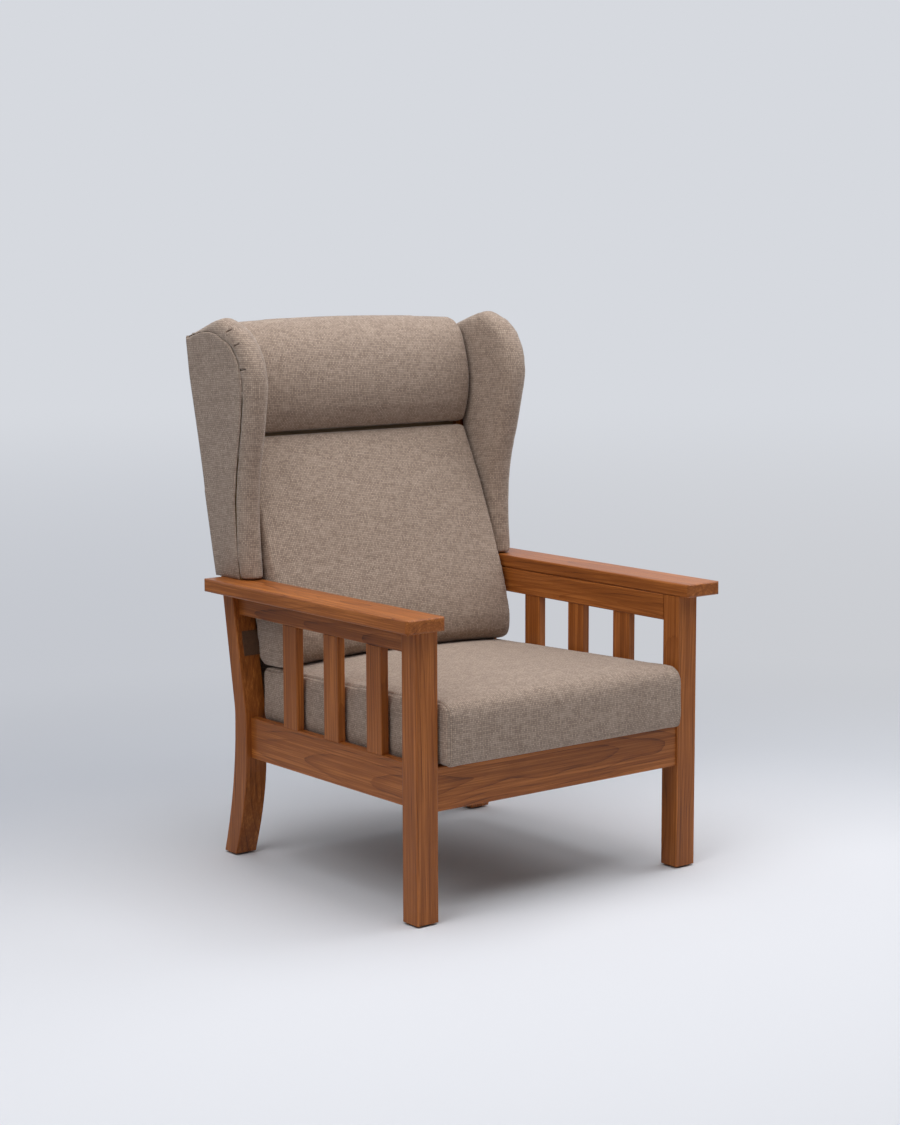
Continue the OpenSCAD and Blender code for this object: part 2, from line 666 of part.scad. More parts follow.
// Seat cushion. Each point of a cushion's side view is [y, z, forward, up], where the last
// two say how far it moves in the middle of the chair's width.
seat_front = -seat_overhang + seat_front_bulge;
seat_rear = frame_d - 3 * tuck_gap;
seat_half = leg_x - seat_side_gap;
crown_curve = 5;
seat_back_r = low_edge_r / 2;
function along_seat(y) = (y - seat_front) / (seat_rear - seat_front);
function seat_top(y) = seat_z + seat_front_h + (seat_rear_h - seat_front_h) * along_seat(y);
function seat_rise(y) = seat_crown * (1 - pow(abs(2 * min(1, along_seat(y)) - 1), crown_curve));
seat_top_shares = [0.12, 0.2, 0.3, 0.42, 0.54, 0.66, 0.76, 0.84, 0.9, 0.95];
seat_roll_middle = [seat_front + roll_edge_r, seat_top(seat_front + roll_edge_r) - roll_edge_r];
function seat_side() = concat(
    [for (p = arc([seat_rear - low_edge_r, seat_z + low_edge_r], low_edge_r, 0, -90, 2)) [p[0], p[1], 0, 0]],
    [for (p = arc([seat_front + low_edge_r, seat_z + low_edge_r], low_edge_r, 270, 180, 3))
        [p[0], p[1], p[1] > seat_z ? -seat_front_bulge / 2 : 0, 0]],
    [[seat_front, (seat_z + seat_roll_middle[1]) / 2, -seat_front_bulge, 0]],
    [for (p = arc(seat_roll_middle, roll_edge_r, 180, 90, 6))
        [p[0], p[1], -seat_front_bulge * (seat_roll_middle[0] - p[0]) / roll_edge_r, seat_rise(p[0]) *
            (p[1] - seat_roll_middle[1]) / roll_edge_r]],
    [for (s = seat_top_shares) let (y = seat_front + (seat_rear - seat_front) * s)
        [y, seat_top(y), 0, seat_rise(y)]],
    [for (p = arc([seat_rear - seat_back_r, seat_top(seat_rear) - seat_back_r], seat_back_r, 90, 0, 2))
        [p[0], p[1], 0, 0]]);
// Places across the width, and the share of the side view's size at each end
width_shares = [0, 0.3, 0.55, 0.78, 0.93];
end_shares = [[0, 1], [0.6, 0.94], [1, 0.72]];
function cushion_places(half) = concat(
    [for (e = [2 : -1 : 0]) [-(half - side_bulge) - end_shares[e][0] * side_bulge, end_shares[e][1]]],
    [for (i = [4 : -1 : 1]) [-(half - side_bulge) * width_shares[i], 1]],
    [for (i = [0 : 4]) [(half - side_bulge) * width_shares[i], 1]],
    [for (e = [0 : 2]) [half - side_bulge + end_shares[e][0] * side_bulge, end_shares[e][1]]]);
module cushion(side, half, middle) {
    skin([for (place = cushion_places(half))
        let (c = 1 - pow(min(1, abs(place[0]) / (half - side_bulge)), 2))
        [for (p = side) [place[0],
            middle[0] + (p[0] + c * p[2] - middle[0]) * place[1],
            middle[1] + (p[1] + c * p[3] - middle[1]) * place[1]]]], middle);
}
// Foam core of the seat: a plain wedge, less by the gap given
module seat_core(gap) {
    in = wadding_t + gap;
    side_view([[seat_front + in, seat_z + in], [seat_rear - in, seat_z + in],
        [seat_rear - in, seat_top(seat_rear) - in],
        [seat_front + roll_edge_r + in, seat_top(seat_front) - in],
        [seat_front + in, seat_top(seat_front) - roll_edge_r - in]], -seat_half + in, seat_half - in);
}
module seat_cushion_cover() {
    color("rosybrown") place() difference() {
        cushion(seat_side(), seat_half, [(seat_front + seat_rear) / 2, seat_z + seat_rear_h / 2]);
        seat_core(0);
    }
}
module seat_cushion_foam() { color("khaki") place() seat_core(let_in_gap); }
// Zip along the back of the seat cushion, with its slider at one end
zip_half_share = 0.9;
zip_w = 6;
zip_t = 1.5;
module seat_cushion_zip() {
    half = seat_half * zip_half_share;
    z = seat_z + seat_rear_h / 2;
    color("dimgray") place() {
        block([-half, seat_rear, z - zip_w / 2], [half, seat_rear + zip_t, z + zip_w / 2]);
        block([half - 2 * zip_w, seat_rear + zip_t, z - zip_w / 3],
            [half - zip_w, seat_rear + 3 / 2 * zip_t, z + zip_w / 3]);
    }
}

// Back cushion: full over its rounded lower end, thin at the crease
lumbar_y = post_front(lumbar_z + 2 * lumbar_end_r) - lumbar_t;
lumbar_rear = post_front(lumbar_z) - strap_t - rest_gap;
lumbar_shares = [[0.258, 0.975, 1], [0.35, 0.92, 1], [0.44, 0.843, 1], [0.59, 0.72, 1], [0.738, 0.585, 0.9],
    [0.88, 0.42, 0.6]];
lumbar_bottom_shares = [0.86, 0.6, 0.35];
lumbar_end_y = lumbar_y + lumbar_end_r;
function lumbar_floor(y) = seat_top(min(y, seat_rear)) + tuck_gap;
function back_side() = let (floor_z = lumbar_floor(lumbar_end_y)) concat(
    [[lumbar_rear, lumbar_z + low_edge_r, 0, 0]],
    [for (s = lumbar_bottom_shares) let (y = lumbar_end_y + (lumbar_rear - low_edge_r - lumbar_end_y) * s)
        [y, lumbar_floor(y), 0, seat_rise(y)]],
    [for (p = arc([lumbar_end_y, floor_z + lumbar_end_r], lumbar_end_r, 270, 180, 6))
        let (up = (p[1] - floor_z) / lumbar_end_r)
        [p[0], p[1], -back_crown * up, seat_rise(lumbar_end_y) * (1 - up / 2)]],
    [[post_front(lumbar_z + 2 * lumbar_end_r) - lumbar_t, lumbar_z + 2 * lumbar_end_r, -back_crown, 0]],
    [for (s = lumbar_shares) let (z = lumbar_z + (crease_z - lumbar_z) * s[0])
        [post_front(z) - lumbar_t * s[1], z, -back_crown * s[2], 0]],
    [[post_front(crease_z) - crease_t, crease_z - rest_gap, -back_crown / 4, 0]],
    [for (s = [1, 0.75, 0.5, 0.25]) let (z = lumbar_z + (crease_z - rest_gap - lumbar_z) * s)
        [back_face(z), z, 0, 0]]);
back_half = leg_x - seat_side_gap - 2 * glue_gap - 3 * rest_gap;
module back_core(gap) {
    in = wadding_t + gap;
    low = lumbar_z + lumbar_end_r + in;
    bend = lumbar_z + (crease_z - lumbar_z) / 3;
    high = crease_z - 2 * crease_t - in;
    side_view([[back_face(low) - in, low], [back_face(high) - in, high],
        [back_face(high) - crease_t - in / 2 + gap, high],
        [back_face(bend) - lumbar_t * 3 / 4 + in / 2 + gap, bend], [lumbar_y + 2 * in, low]],
        -back_half + in, back_half - in);
}
module back_cushion_cover() {
    color("rosybrown") place() difference() {
        cushion(back_side(), back_half,
            [back_face((lumbar_z + crease_z) / 2) - crease_t, (lumbar_z + crease_z) / 2]);
        back_core(0);
    }
}
module back_cushion_foam() { color("khaki") place() back_core(let_in_gap); }

// Head roll: a full roll above the crease, carried over the top rail to the outside back
roll_shares = [[0.03, 0.42, 0.2], [0.12, 0.6, 0.6], [0.22, 0.77, 0.9], [0.34, 0.9, 1], [0.455, 0.985, 1],
    [0.56, 1, 1], [0.644, 1, 1], [0.74, 0.955, 0.9], [0.82, 0.885, 0.8], [0.9, 0.76, 0.6],
    [0.966, 0.55, 0.4]];
roll_over_shares = [[0.2, 1], [0.45, 0.93], [0.75, 0.7], [0.95, 0.4]];
roll_top_z = crease_z + roll_h;
function roll_back(z) = back_line(min(z, back_panel_top_z)) - back_panel_t - rest_gap;
roll_low = post_top_z + rest_gap;
roll_half = back_half + 2 * glue_gap;
roll_crest = post_front(roll_top_z) - roll_t / 3;
function roll_side() = concat(
    [for (s = [0.5, 0]) let (z = crease_z + rest_gap + (roll_low - crease_z) * s) [back_face(z), z, 0, 0]],
    [for (s = roll_shares) let (z = crease_z + roll_h * s[0])
        [post_front(z) - roll_t * s[1], z, -back_crown * s[2], roll_top_crown * max(0, s[0] - 0.5)]],
    [for (s = roll_over_shares) let (z = roll_low + (roll_top_z - roll_low) * s[1])
        [roll_crest + (roll_back(z) - roll_crest) * s[0], z, 0, roll_top_crown * s[1]]],
    [[roll_back(roll_low), roll_low, 0, 0], [back_face(roll_low), roll_low, 0, 0]]);
module roll_core(gap) {
    in = wadding_t + gap;
    low = crease_z + crease_t;
    high = roll_low - in / 2;
    side_view([[back_face(low) - in / 2, low + gap], [back_face(high) - in / 2, high],
        [post_front(high) - roll_t / 2, high],
        [post_front((low + high) / 2) - roll_t + in, (low + high) / 2],
        [post_front(low) - roll_t / 2, low + gap]], -roll_half + in, roll_half - in);
}
module head_roll_cover() {
    color("rosybrown") place() difference() {
        cushion(roll_side(), roll_half,
            [back_face(roll_low) - roll_t / 4, roll_low + (roll_top_z - roll_low) / 3]);
        roll_core(0);
    }
}
module head_roll_foam() { color("khaki") place() roll_core(let_in_gap); }

// Glides: a domed-edge disc nailed into the end of each leg
nail_r = 1.8;
nail_l = 16;
glide_bevel_share = 0.3;
foot_middle = (post_front(glide_t) + back_line(glide_t)) / 2;
module glide_hole(x, y) {
    translate([x, y, glide_t - over]) cylinder(h = nail_l + glue_gap + over, r = nail_r + fit_gap, $fn = 24);
}
module glide(side, x, y) {
    color("dimgray") on_side(side) translate([x, y, 0]) rotate_extrude($fn = 48)
        polygon([[0, 0], [glide_r - glide_t * glide_bevel_share, 0], [glide_r, glide_t * glide_bevel_share],
            [glide_r, glide_t], [nail_r, glide_t], [nail_r, glide_t + nail_l], [0, glide_t + nail_l]]);
}

front_leg(-1);  // front_leg_left
front_leg(1);  // front_leg_right
back_post(-1);  // back_post_left
back_post(1);  // back_post_right
side_rail(-1);  // side_rail_left
side_rail(1);  // side_rail_right
arm_rail(-1);  // arm_rail_left
arm_rail(1);  // arm_rail_right
arm_slat(-1, 1);  // arm_slat_left_1
arm_slat(-1, 2);  // arm_slat_left_2
arm_slat(-1, 3);  // arm_slat_left_3
arm_slat(1, 1);  // arm_slat_right_1
arm_slat(1, 2);  // arm_slat_right_2
arm_slat(1, 3);  // arm_slat_right_3
arm_top(-1);  // arm_top_left
arm_top(1);  // arm_top_right
arm_screws();
front_rail();
back_seat_rail();
leaning_rail(back_rails[0]);  // back_lower_rail
leaning_rail(back_rails[1]);  // back_middle_rail
leaning_rail(back_rails[2]);  // back_top_rail
corner_blocks();
corner_block_screws();
seat_webbing();
back_webbing();
wing_board(-1);  // wing_board_left
wing_board(1);  // wing_board_right
wing_screws();
wing_pad(-1);  // wing_pad_left
wing_pad(1);  // wing_pad_right
wing_panel(-1);  // wing_panel_left
wing_panel(1);  // wing_panel_right
outside_back_panel();
lower_back_panel();
back_cushion_cover();
back_cushion_foam();
head_roll_cover();
head_roll_foam();
seat_cushion_cover();
seat_cushion_foam();
seat_cushion_zip();
glide(-1, leg_x + leg_w / 2, leg_d / 2);  // glide_front_left
glide(1, leg_x + leg_w / 2, leg_d / 2);  // glide_front_right
glide(-1, post_x + post_w / 2, foot_middle);  // glide_back_left
glide(1, post_x + post_w / 2, foot_middle);  // glide_back_right
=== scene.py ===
"""A fireside chair: stained hardwood frame with slatted sides, a loose seat cushion, a back cushion
with a head roll, and two upholstered wings. Everything is in metres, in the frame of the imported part."""
import math

import bmesh
import bpy
import numpy as np
from mathutils import Matrix, Vector
from mathutils.bvhtree import BVHTree


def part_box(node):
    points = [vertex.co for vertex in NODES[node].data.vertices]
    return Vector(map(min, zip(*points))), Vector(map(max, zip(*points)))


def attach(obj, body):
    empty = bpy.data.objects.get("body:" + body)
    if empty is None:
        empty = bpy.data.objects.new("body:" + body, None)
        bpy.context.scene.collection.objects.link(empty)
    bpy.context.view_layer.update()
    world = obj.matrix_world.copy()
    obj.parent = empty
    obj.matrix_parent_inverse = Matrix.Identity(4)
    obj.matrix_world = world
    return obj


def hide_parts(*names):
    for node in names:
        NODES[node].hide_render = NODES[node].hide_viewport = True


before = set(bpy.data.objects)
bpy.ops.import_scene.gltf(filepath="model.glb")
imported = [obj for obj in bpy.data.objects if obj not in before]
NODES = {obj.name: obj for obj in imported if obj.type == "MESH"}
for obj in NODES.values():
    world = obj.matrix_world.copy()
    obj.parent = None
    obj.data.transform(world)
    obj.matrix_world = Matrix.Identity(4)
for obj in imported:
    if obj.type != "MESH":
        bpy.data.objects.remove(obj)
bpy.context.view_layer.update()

scene = bpy.context.scene
scene.view_settings.view_transform = "Standard"
SIDES = ((-1, "left"), (1, "right"))

# Finishes, as the colours read in daylight
# The weave mixes these two: the dark end serves both the darker yarns and the painted shade between yarns
LINEN_DARK = (106, 88, 76)
LINEN_LIGHT = (196, 175, 157)
# How dark the painted shade is in the lines of seams and tucks
SEAM_SHADE = 0.62
STAIN_PALE = (182, 110, 52)
STAIN_MID = (144, 80, 31)
STAIN_DARK = (84, 41, 13)
BEECH = ((214, 182, 140), (201, 165, 122), (176, 138, 97))
PLY = ((205, 172, 128), (190, 154, 110), (158, 120, 80))
FOAM = (232, 224, 196)
WEBBING_DARK = (72, 48, 32)
WEBBING_LIGHT = (112, 78, 52)
STEEL = (176, 174, 170)
THREAD = (112, 95, 83)
ZIP_METAL = (150, 132, 96)
ZIP_TAPE = (96, 82, 72)
GLIDE = (52, 47, 43)
# The floor's colour: a painted pool of light round the chair, and painted shade beyond it, darker to the left than
# to the right
FLOOR_PAINTED_POOL = (223, 224, 228)
FLOOR_PAINTED_SHADE_LEFT = (196, 199, 206)
FLOOR_PAINTED_SHADE_RIGHT = (203, 205, 210)
HORIZON = (214, 217, 223)


def linear(colour):
    """A colour written as 0 to 255, turned into the linear values that a shader takes."""
    def one(c):
        c = c / 255
        return c / 12.92 if c <= 0.04045 else ((c + 0.055) / 1.055) ** 2.4
    return tuple(one(c) for c in colour) + (1.0,)


# ---- camera

LENS = 48.997
SENSOR = 24.0
STAND_POINT = (-2.84109, -3.65619, 1.26186)
VIEW_AZIMUTH = math.radians(-37.99)
VIEW_DROP = math.radians(7.96)
VIEW_ROLL = math.radians(-0.18)


def set_up_camera():
    """Stands the camera where the photograph was taken from."""
    back = Vector((math.sin(VIEW_AZIMUTH) * math.cos(VIEW_DROP),
                   -math.cos(VIEW_AZIMUTH) * math.cos(VIEW_DROP), math.sin(VIEW_DROP)))
    right = Vector((0, 0, 1)).cross(back).normalized()
    up = back.cross(right)
    right, up = (right * math.cos(VIEW_ROLL) + up * math.sin(VIEW_ROLL),
                 up * math.cos(VIEW_ROLL) - right * math.sin(VIEW_ROLL))
    lens = bpy.data.cameras.new("portrait camera")
    lens.sensor_fit = "VERTICAL"
    lens.sensor_height = SENSOR
    lens.lens = LENS
    lens.clip_end = 200
    camera = bpy.data.objects.new("portrait camera", lens)
    turn = Matrix((right, up, back)).transposed().to_4x4()
    camera.matrix_world = Matrix.Translation(STAND_POINT) @ turn
    scene.collection.objects.link(camera)
    scene.camera = camera


# ---- node recipes

class Recipe:
    """A node tree being filled in: each step adds one node and wires up what it takes."""

    def __init__(self, tree):
        self.tree = tree

    def fill(self, inputs, takes):
        """Wires each named input to the socket that is given for it, or sets it to the value."""
        for name, value in takes.items():
            if isinstance(value, bpy.types.NodeSocket):
                self.tree.links.new(value, inputs[name])
            else:
                inputs[name].default_value = value

    def step(self, kind, takes=None, **settings):
        made = self.tree.nodes.new(kind)
        for name, value in settings.items():
            setattr(made, name, value)
        self.fill(made.inputs, takes or {})
        return made

    def sum(self, how, *values, clamp=False):
        return self.step("ShaderNodeMath", dict(enumerate(values)), operation=how, use_clamp=clamp).outputs[0]

    def plus(self, a, b, clamp=False):
        return self.sum("ADD", a, b, clamp=clamp)

    def minus(self, a, b):
        return self.sum("SUBTRACT", a, b)

    def times(self, a, b):
        return self.sum("MULTIPLY", a, b)

    def times_plus(self, a, b, c, clamp=False):
        return self.sum("MULTIPLY_ADD", a, b, c, clamp=clamp)

    def spread(self, value, low, high, new_low=0.0, new_high=1.0):
        """Stretches the stretch low..high of a value to new_low..new_high, smoothly."""
        return self.step("ShaderNodeMapRange", {0: value, 1: low, 2: high, 3: new_low, 4: new_high},
                         interpolation_type="SMOOTHSTEP").outputs[0]

    def mix(self, share, a, b, how="MIX"):
        return self.step("ShaderNodeMix", {0: share, 6: a, 7: b}, data_type="RGBA", blend_type=how).outputs[2]

    def noise(self, vector, scale, detail=2.0, rough=0.5):
        return self.step("ShaderNodeTexNoise", {"Vector": vector, "Scale": scale, "Detail": detail,
                                                "Roughness": rough}).outputs[0]

    def split(self, vector):
        return self.step("ShaderNodeSeparateXYZ", {0: vector}).outputs

    def point(self, x, y, z=0.0):
        return self.step("ShaderNodeCombineXYZ", {0: x, 1: y, 2: z}).outputs[0]

    def bumps(self, height, strength, distance):
        return self.step("ShaderNodeBump", {"Height": height, "Strength": strength, "Distance": distance}).outputs[0]


def start_group(name, takes, gives, kind="ShaderNodeTree"):
    """An empty node group with named inputs and outputs, each with its kind of socket."""
    tree = bpy.data.node_groups.new(name, kind)
    for sockets, in_out in ((takes, "INPUT"), (gives, "OUTPUT")):
        for label, socket in sockets.items():
            tree.interface.new_socket(label, in_out=in_out, socket_type="NodeSocket" + socket)
    recipe = Recipe(tree)
    return recipe, recipe.step("NodeGroupInput").outputs, recipe.step("NodeGroupOutput").inputs


def plain_weave():
    """Warp and weft that pass over and under each other. Each yarn is a pair of threads, thick and
    thin along its length. The colour has painted shade where the yarns lie low, in the gaps between them."""
    r, given, wanted = start_group(
        "plain weave", {"Threads": "Vector", "Pitch": "Float", "Dark yarn": "Color", "Light yarn": "Color"},
        {"Colour": "Color", "Height": "Float"})
    across, along, _ = r.split(given["Threads"])
    sway = r.times(r.minus(r.noise(given["Threads"], 40.0), 0.5), 0.0006)
    u = r.sum("DIVIDE", r.plus(across, sway), given["Pitch"])
    v = r.sum("DIVIDE", r.minus(along, sway), given["Pitch"])
    warp, weft = (r.sum("SINE", r.times(place, math.pi)) for place in (u, v))
    over = r.sum("MINIMUM", 1.0, r.sum("MAXIMUM", -1.0, r.times(r.times(warp, weft), 3.0)))
    warp, weft = r.sum("ABSOLUTE", warp), r.sum("ABSOLUTE", weft)
    on_top = r.times_plus(over, 0.5, 0.5)
    below = r.minus(1.0, on_top)

    def upper(of_warp, of_weft):
        """The value of the yarn that is on top."""
        return r.plus(r.times(of_warp, on_top), r.times(of_weft, below))

    # Slubs: long along their own yarn, one yarn wide
    warp_slub = r.noise(r.point(r.sum("FLOOR", u), r.times(v, 0.2)), 1.31, 1.0)
    weft_slub = r.noise(r.point(r.times(u, 0.2), r.sum("FLOOR", v), 7.3), 1.31, 1.0)
    slub = upper(r.spread(warp_slub, 0.32, 0.68), r.spread(weft_slub, 0.32, 0.68))
    pair = upper(*(r.sum("ABSOLUTE", r.sum("SINE", r.times(place, 2 * math.pi))) for place in (u, v)))
    rise = r.sum("MAXIMUM", r.times(warp, r.times_plus(over, 0.42, 0.58)),
                 r.times(weft, r.times_plus(over, -0.42, 0.58)))
    knots = r.sum("SQRT", r.times(warp, weft))
    height = r.times_plus(knots, 0.6, r.times(rise, 0.4))
    height = r.times(height, r.times_plus(slub, 0.25, 0.75))
    height = r.times(height, r.times_plus(pair, 0.3, 0.7))

    fleck = r.step("ShaderNodeTexWhiteNoise", {"Vector": r.point(r.sum("FLOOR", u), r.sum("FLOOR", v))},
                   noise_dimensions="3D").outputs["Value"]
    blotch = r.spread(r.noise(given["Threads"], 22.0, 3.0), 0.3, 0.7)
    tone = r.plus(r.times(slub, 0.2), r.plus(r.times(r.times(fleck, fleck), 0.1), r.times(blotch, 0.05)))
    tone = r.times_plus(over, 0.03, tone)
    # Painted shade: the colour is darker where the yarns lie low, in the gaps between them, and lighter where they
    # rise
    tone = r.times_plus(height, 0.72, r.minus(tone, 0.045), clamp=True)
    r.fill(wanted, {"Colour": r.mix(tone, given["Dark yarn"], given["Light yarn"]), "Height": height})
    return r.tree


def timber_grain():
    """Growth rings round a heart that lies outside the board, with fibres and pores along it.
    The grain runs along the first axis of the vector."""
    r, given, wanted = start_group(
        "timber grain", {"Grain": "Vector", "Heart": "Vector", "Ring": "Float", "Pale": "Color",
                         "Mid": "Color", "Dark": "Color"},
        {"Colour": "Color", "Height": "Float", "Roughness": "Float"})
    along, a, b = r.split(given["Grain"])
    drift, heart_a, heart_b = r.split(given["Heart"])

    def figure(lengthways, sideways, detail, rough=0.5):
        """Noise that is drawn out along the grain."""
        place = r.point(r.times(along, lengthways), r.times(a, sideways), r.times(b, sideways))
        return r.noise(place, 1.0, detail, rough)

    bend = r.times(r.minus(figure(2.6, 5.0, 2.0), 0.5), 0.05)
    off_a, off_b = r.plus(r.minus(a, heart_a), bend), r.minus(b, heart_b)
    ring = r.sum("SQRT", r.plus(r.times(off_a, off_a), r.times(off_b, off_b)))
    ring = r.sum("DIVIDE", r.plus(ring, r.times(along, drift)), given["Ring"])
    ring = r.plus(ring, r.times(figure(7.0, 40.0, 3.0), 0.55))
    own = r.noise(r.point(r.sum("FLOOR", ring), r.times(along, 4.0)), 1.7, 1.0)
    late = r.times(r.sum("POWER", r.sum("FRACT", ring), 5.0), r.spread(own, 0.3, 0.7, 0.2, 1.0))
    fibre = figure(14.0, 1100.0, 2.0, 0.6)
    thread = r.spread(figure(5.0, 420.0, 3.0, 0.6), 0.3, 0.7)
    streak = r.spread(figure(2.5, 120.0, 3.0, 0.55), 0.28, 0.72)
    cloud = figure(3.0, 14.0, 2.0)
    pore = r.spread(figure(60.0, 1500.0, 1.0), 0.64, 0.74)
    depth = r.plus(r.times(late, 0.42), r.times(streak, 0.26))
    depth = r.plus(depth, r.times(thread, 0.3))
    depth = r.plus(depth, r.times(r.minus(fibre, 0.5), 0.4))
    depth = r.plus(depth, r.times(r.minus(cloud, 0.5), 0.4), clamp=True)
    colour = r.mix(r.spread(depth, 0.0, 0.4), given["Pale"], given["Mid"])
    colour = r.mix(r.spread(depth, 0.36, 0.9), colour, given["Dark"])
    r.fill(wanted, {
        "Colour": r.mix(r.times(pore, 0.45), colour, given["Dark"]),
        "Height": r.minus(r.times_plus(fibre, 0.5, r.times(late, 0.25)), r.times(pore, 0.8)),
        "Roughness": r.times_plus(r.minus(1.0, fibre), 0.2, 0.3)})
    return r.tree


def surface(name):
    """A new material, its recipe and its shader, ready to be wired."""
    made = bpy.data.materials.new(name)
    made.use_nodes = True
    made.node_tree.nodes.clear()
    r = Recipe(made.node_tree)
    shader = r.step("ShaderNodeBsdfPrincipled")
    r.step("ShaderNodeOutputMaterial", {0: shader.outputs[0]})
    return made, r, shader


WEAVE = plain_weave()
GRAIN = timber_grain()
WEAVE_PITCH = 0.0039
WEAVE_RELIEF = 0.0007
RING_WIDTH = 0.0075
LACQUER = 0.09
# Which axes of an object run along the grain and across it
AXES = {"x": (0, 1, 2), "y": (1, 2, 0), "z": (2, 0, 1)}


def linen(name, dark=LINEN_DARK, light=LINEN_LIGHT, pitch=WEAVE_PITCH, relief=WEAVE_RELIEF):
    """Woven upholstery cloth: follows the piece's own threads, with painted shade in the lines of its seams and
    tucks.
    """
    made, r, shader = surface(name)
    cloth = r.step("ShaderNodeGroup", {
        "Threads": r.step("ShaderNodeUVMap", uv_map="threads").outputs[0], "Pitch": pitch,
        "Dark yarn": linear(dark), "Light yarn": linear(light)}, node_tree=WEAVE).outputs
    # Painted shade along the lines of seams and tucks, as marked on the mesh
    seam = r.step("ShaderNodeAttribute", attribute_name="seam").outputs["Fac"]
    shade = r.mix(r.times(seam, 1 - SEAM_SHADE), (1, 1, 1, 1), (0, 0, 0, 1))
    r.fill(shader.inputs, {
        "Base Color": r.mix(1.0, cloth["Colour"], shade, "MULTIPLY"), "Roughness": 0.88,
        "Specular IOR Level": 0.25, "Sheen Weight": 0.22, "Sheen Roughness": 0.45,
        "Normal": r.bumps(cloth["Height"], 0.6, relief)})
    return made


def timber(name, axis, heart, colours=(STAIN_PALE, STAIN_MID, STAIN_DARK), ring=RING_WIDTH, shift=0.0, coat=LACQUER):
    """Stained and satin-lacquered hardwood. The heart says how fast the rings drift along the piece,
    and where they are centred across it."""
    made, r, shader = surface(name)
    place = r.split(r.step("ShaderNodeTexCoord").outputs["Object"])
    first, second, third = (place[i] for i in AXES[axis])
    pale, mid, dark = (linear(colour) for colour in colours)
    wood = r.step("ShaderNodeGroup", {
        "Grain": r.point(r.plus(first, shift), second, third), "Heart": heart, "Ring": ring,
        "Pale": pale, "Mid": mid, "Dark": dark}, node_tree=GRAIN).outputs
    r.fill(shader.inputs, {
        "Base Color": wood["Colour"], "Roughness": wood["Roughness"], "Specular IOR Level": 0.25,
        "Coat Weight": coat, "Coat Roughness": 0.28, "Normal": r.bumps(wood["Height"], 0.25, 0.0003)})
    return made


def plain(name, colour, mottle, scale, roughness, metallic=0.0, relief=0.0001):
    """A finish whose colour and surface vary a little: foam, steel, moulded glides."""
    made, r, shader = surface(name)
    cell = r.noise(r.step("ShaderNodeTexCoord").outputs["Object"], scale, 4.0, 0.6)
    dark = tuple(c * (1 - mottle) for c in colour)
    r.fill(shader.inputs, {
        "Base Color": r.mix(r.spread(cell, 0.3, 0.7), linear(dark), linear(colour)),
        "Roughness": r.spread(cell, 0.2, 0.8, roughness - 0.08, roughness + 0.08),
        "Metallic": metallic, "Normal": r.bumps(cell, 0.4, relief)})
    return made


# ---- room

def set_up_room():
    """A pale floor that runs out to a pale horizon, and large soft lights round the chair. The floor's colour has a
    painted pool of light round the chair, and painted shade beyond it.
    """
    world = bpy.data.worlds.new("studio")
    scene.world = world
    world.use_nodes = True
    world.node_tree.nodes.clear()
    r = Recipe(world.node_tree)
    ray = r.step("ShaderNodeLightPath").outputs
    seen = r.sum("MAXIMUM", ray["Is Camera Ray"], ray["Is Glossy Ray"])
    light = r.step("ShaderNodeBackground", {0: ROOM_TINT, 1: ROOM_LIGHT}).outputs[0]
    backdrop = r.step("ShaderNodeBackground", {0: linear(HORIZON), 1: 1.0}).outputs[0]
    both = r.step("ShaderNodeMixShader", {0: seen, 1: light, 2: backdrop}).outputs[0]
    r.step("ShaderNodeOutputWorld", {0: both})

    form = bmesh.new()
    bmesh.ops.create_grid(form, x_segments=24, y_segments=24, size=FLOOR_REACH)
    floor = link("studio floor", mesh_of(form, "studio floor"))
    made, r, shader = surface("studio floor")
    place = r.step("ShaderNodeTexCoord").outputs["Object"]
    far = r.step("ShaderNodeVectorMath", {0: place, 1: FLOOR_MIDDLE}, operation="DISTANCE").outputs["Value"]
    across = r.step("ShaderNodeVectorMath", {0: place, 1: FLOOR_ACROSS}, operation="DOT_PRODUCT").outputs["Value"]
    # The floor's colour: the painted pool of light near the middle, and painted shade further out, darker to the
    # left
    painted_shade = r.mix(r.spread(across, -1.6, 1.6), linear(FLOOR_PAINTED_SHADE_LEFT), linear(FLOOR_PAINTED_SHADE_RIGHT))
    r.fill(shader.inputs, {"Base Color": r.mix(r.spread(far, *FLOOR_PAINTED_SHADE_SPAN), linear(FLOOR_PAINTED_POOL), painted_shade),
                           "Roughness": 0.85, "Specular IOR Level": 0.1})
    # Seen from the camera, the far floor shines by itself in its painted shade colour, which turns into the horizon
    glow = r.step("ShaderNodeEmission", {0: r.mix(r.spread(far, *FLOOR_JOINS_HORIZON), painted_shade, linear(HORIZON)),
                                         1: 1.0}).outputs[0]
    share = r.times(r.spread(far, *FLOOR_GLOWS), r.step("ShaderNodeLightPath").outputs["Is Camera Ray"])
    both = r.step("ShaderNodeMixShader", {0: share, 1: shader.outputs[0], 2: glow}).outputs[0]
    end = next(n for n in made.node_tree.nodes if n.type == "OUTPUT_MATERIAL")
    r.fill(end.inputs, {0: both})
    floor.data.materials.append(made)

    for name, place, aim, across, power, tint in LAMPS:
        lamp = bpy.data.lights.new(name, "AREA")
        lamp.shape, lamp.size, lamp.energy, lamp.color = "DISK", across, power, tint
        holder = bpy.data.objects.new(name, lamp)
        holder.location = place
        holder.rotation_euler = (Vector(aim) - Vector(place)).to_track_quat("-Z", "Y").to_euler()
        scene.collection.objects.link(holder)


FLOOR_REACH = 60.0
# The middle of the painted pool of light, and the way across the floor along which its painted shade goes from left
# to right
FLOOR_MIDDLE = (-0.5, -1.2, 0.0)
FLOOR_ACROSS = (0.788, -0.616, 0.0)
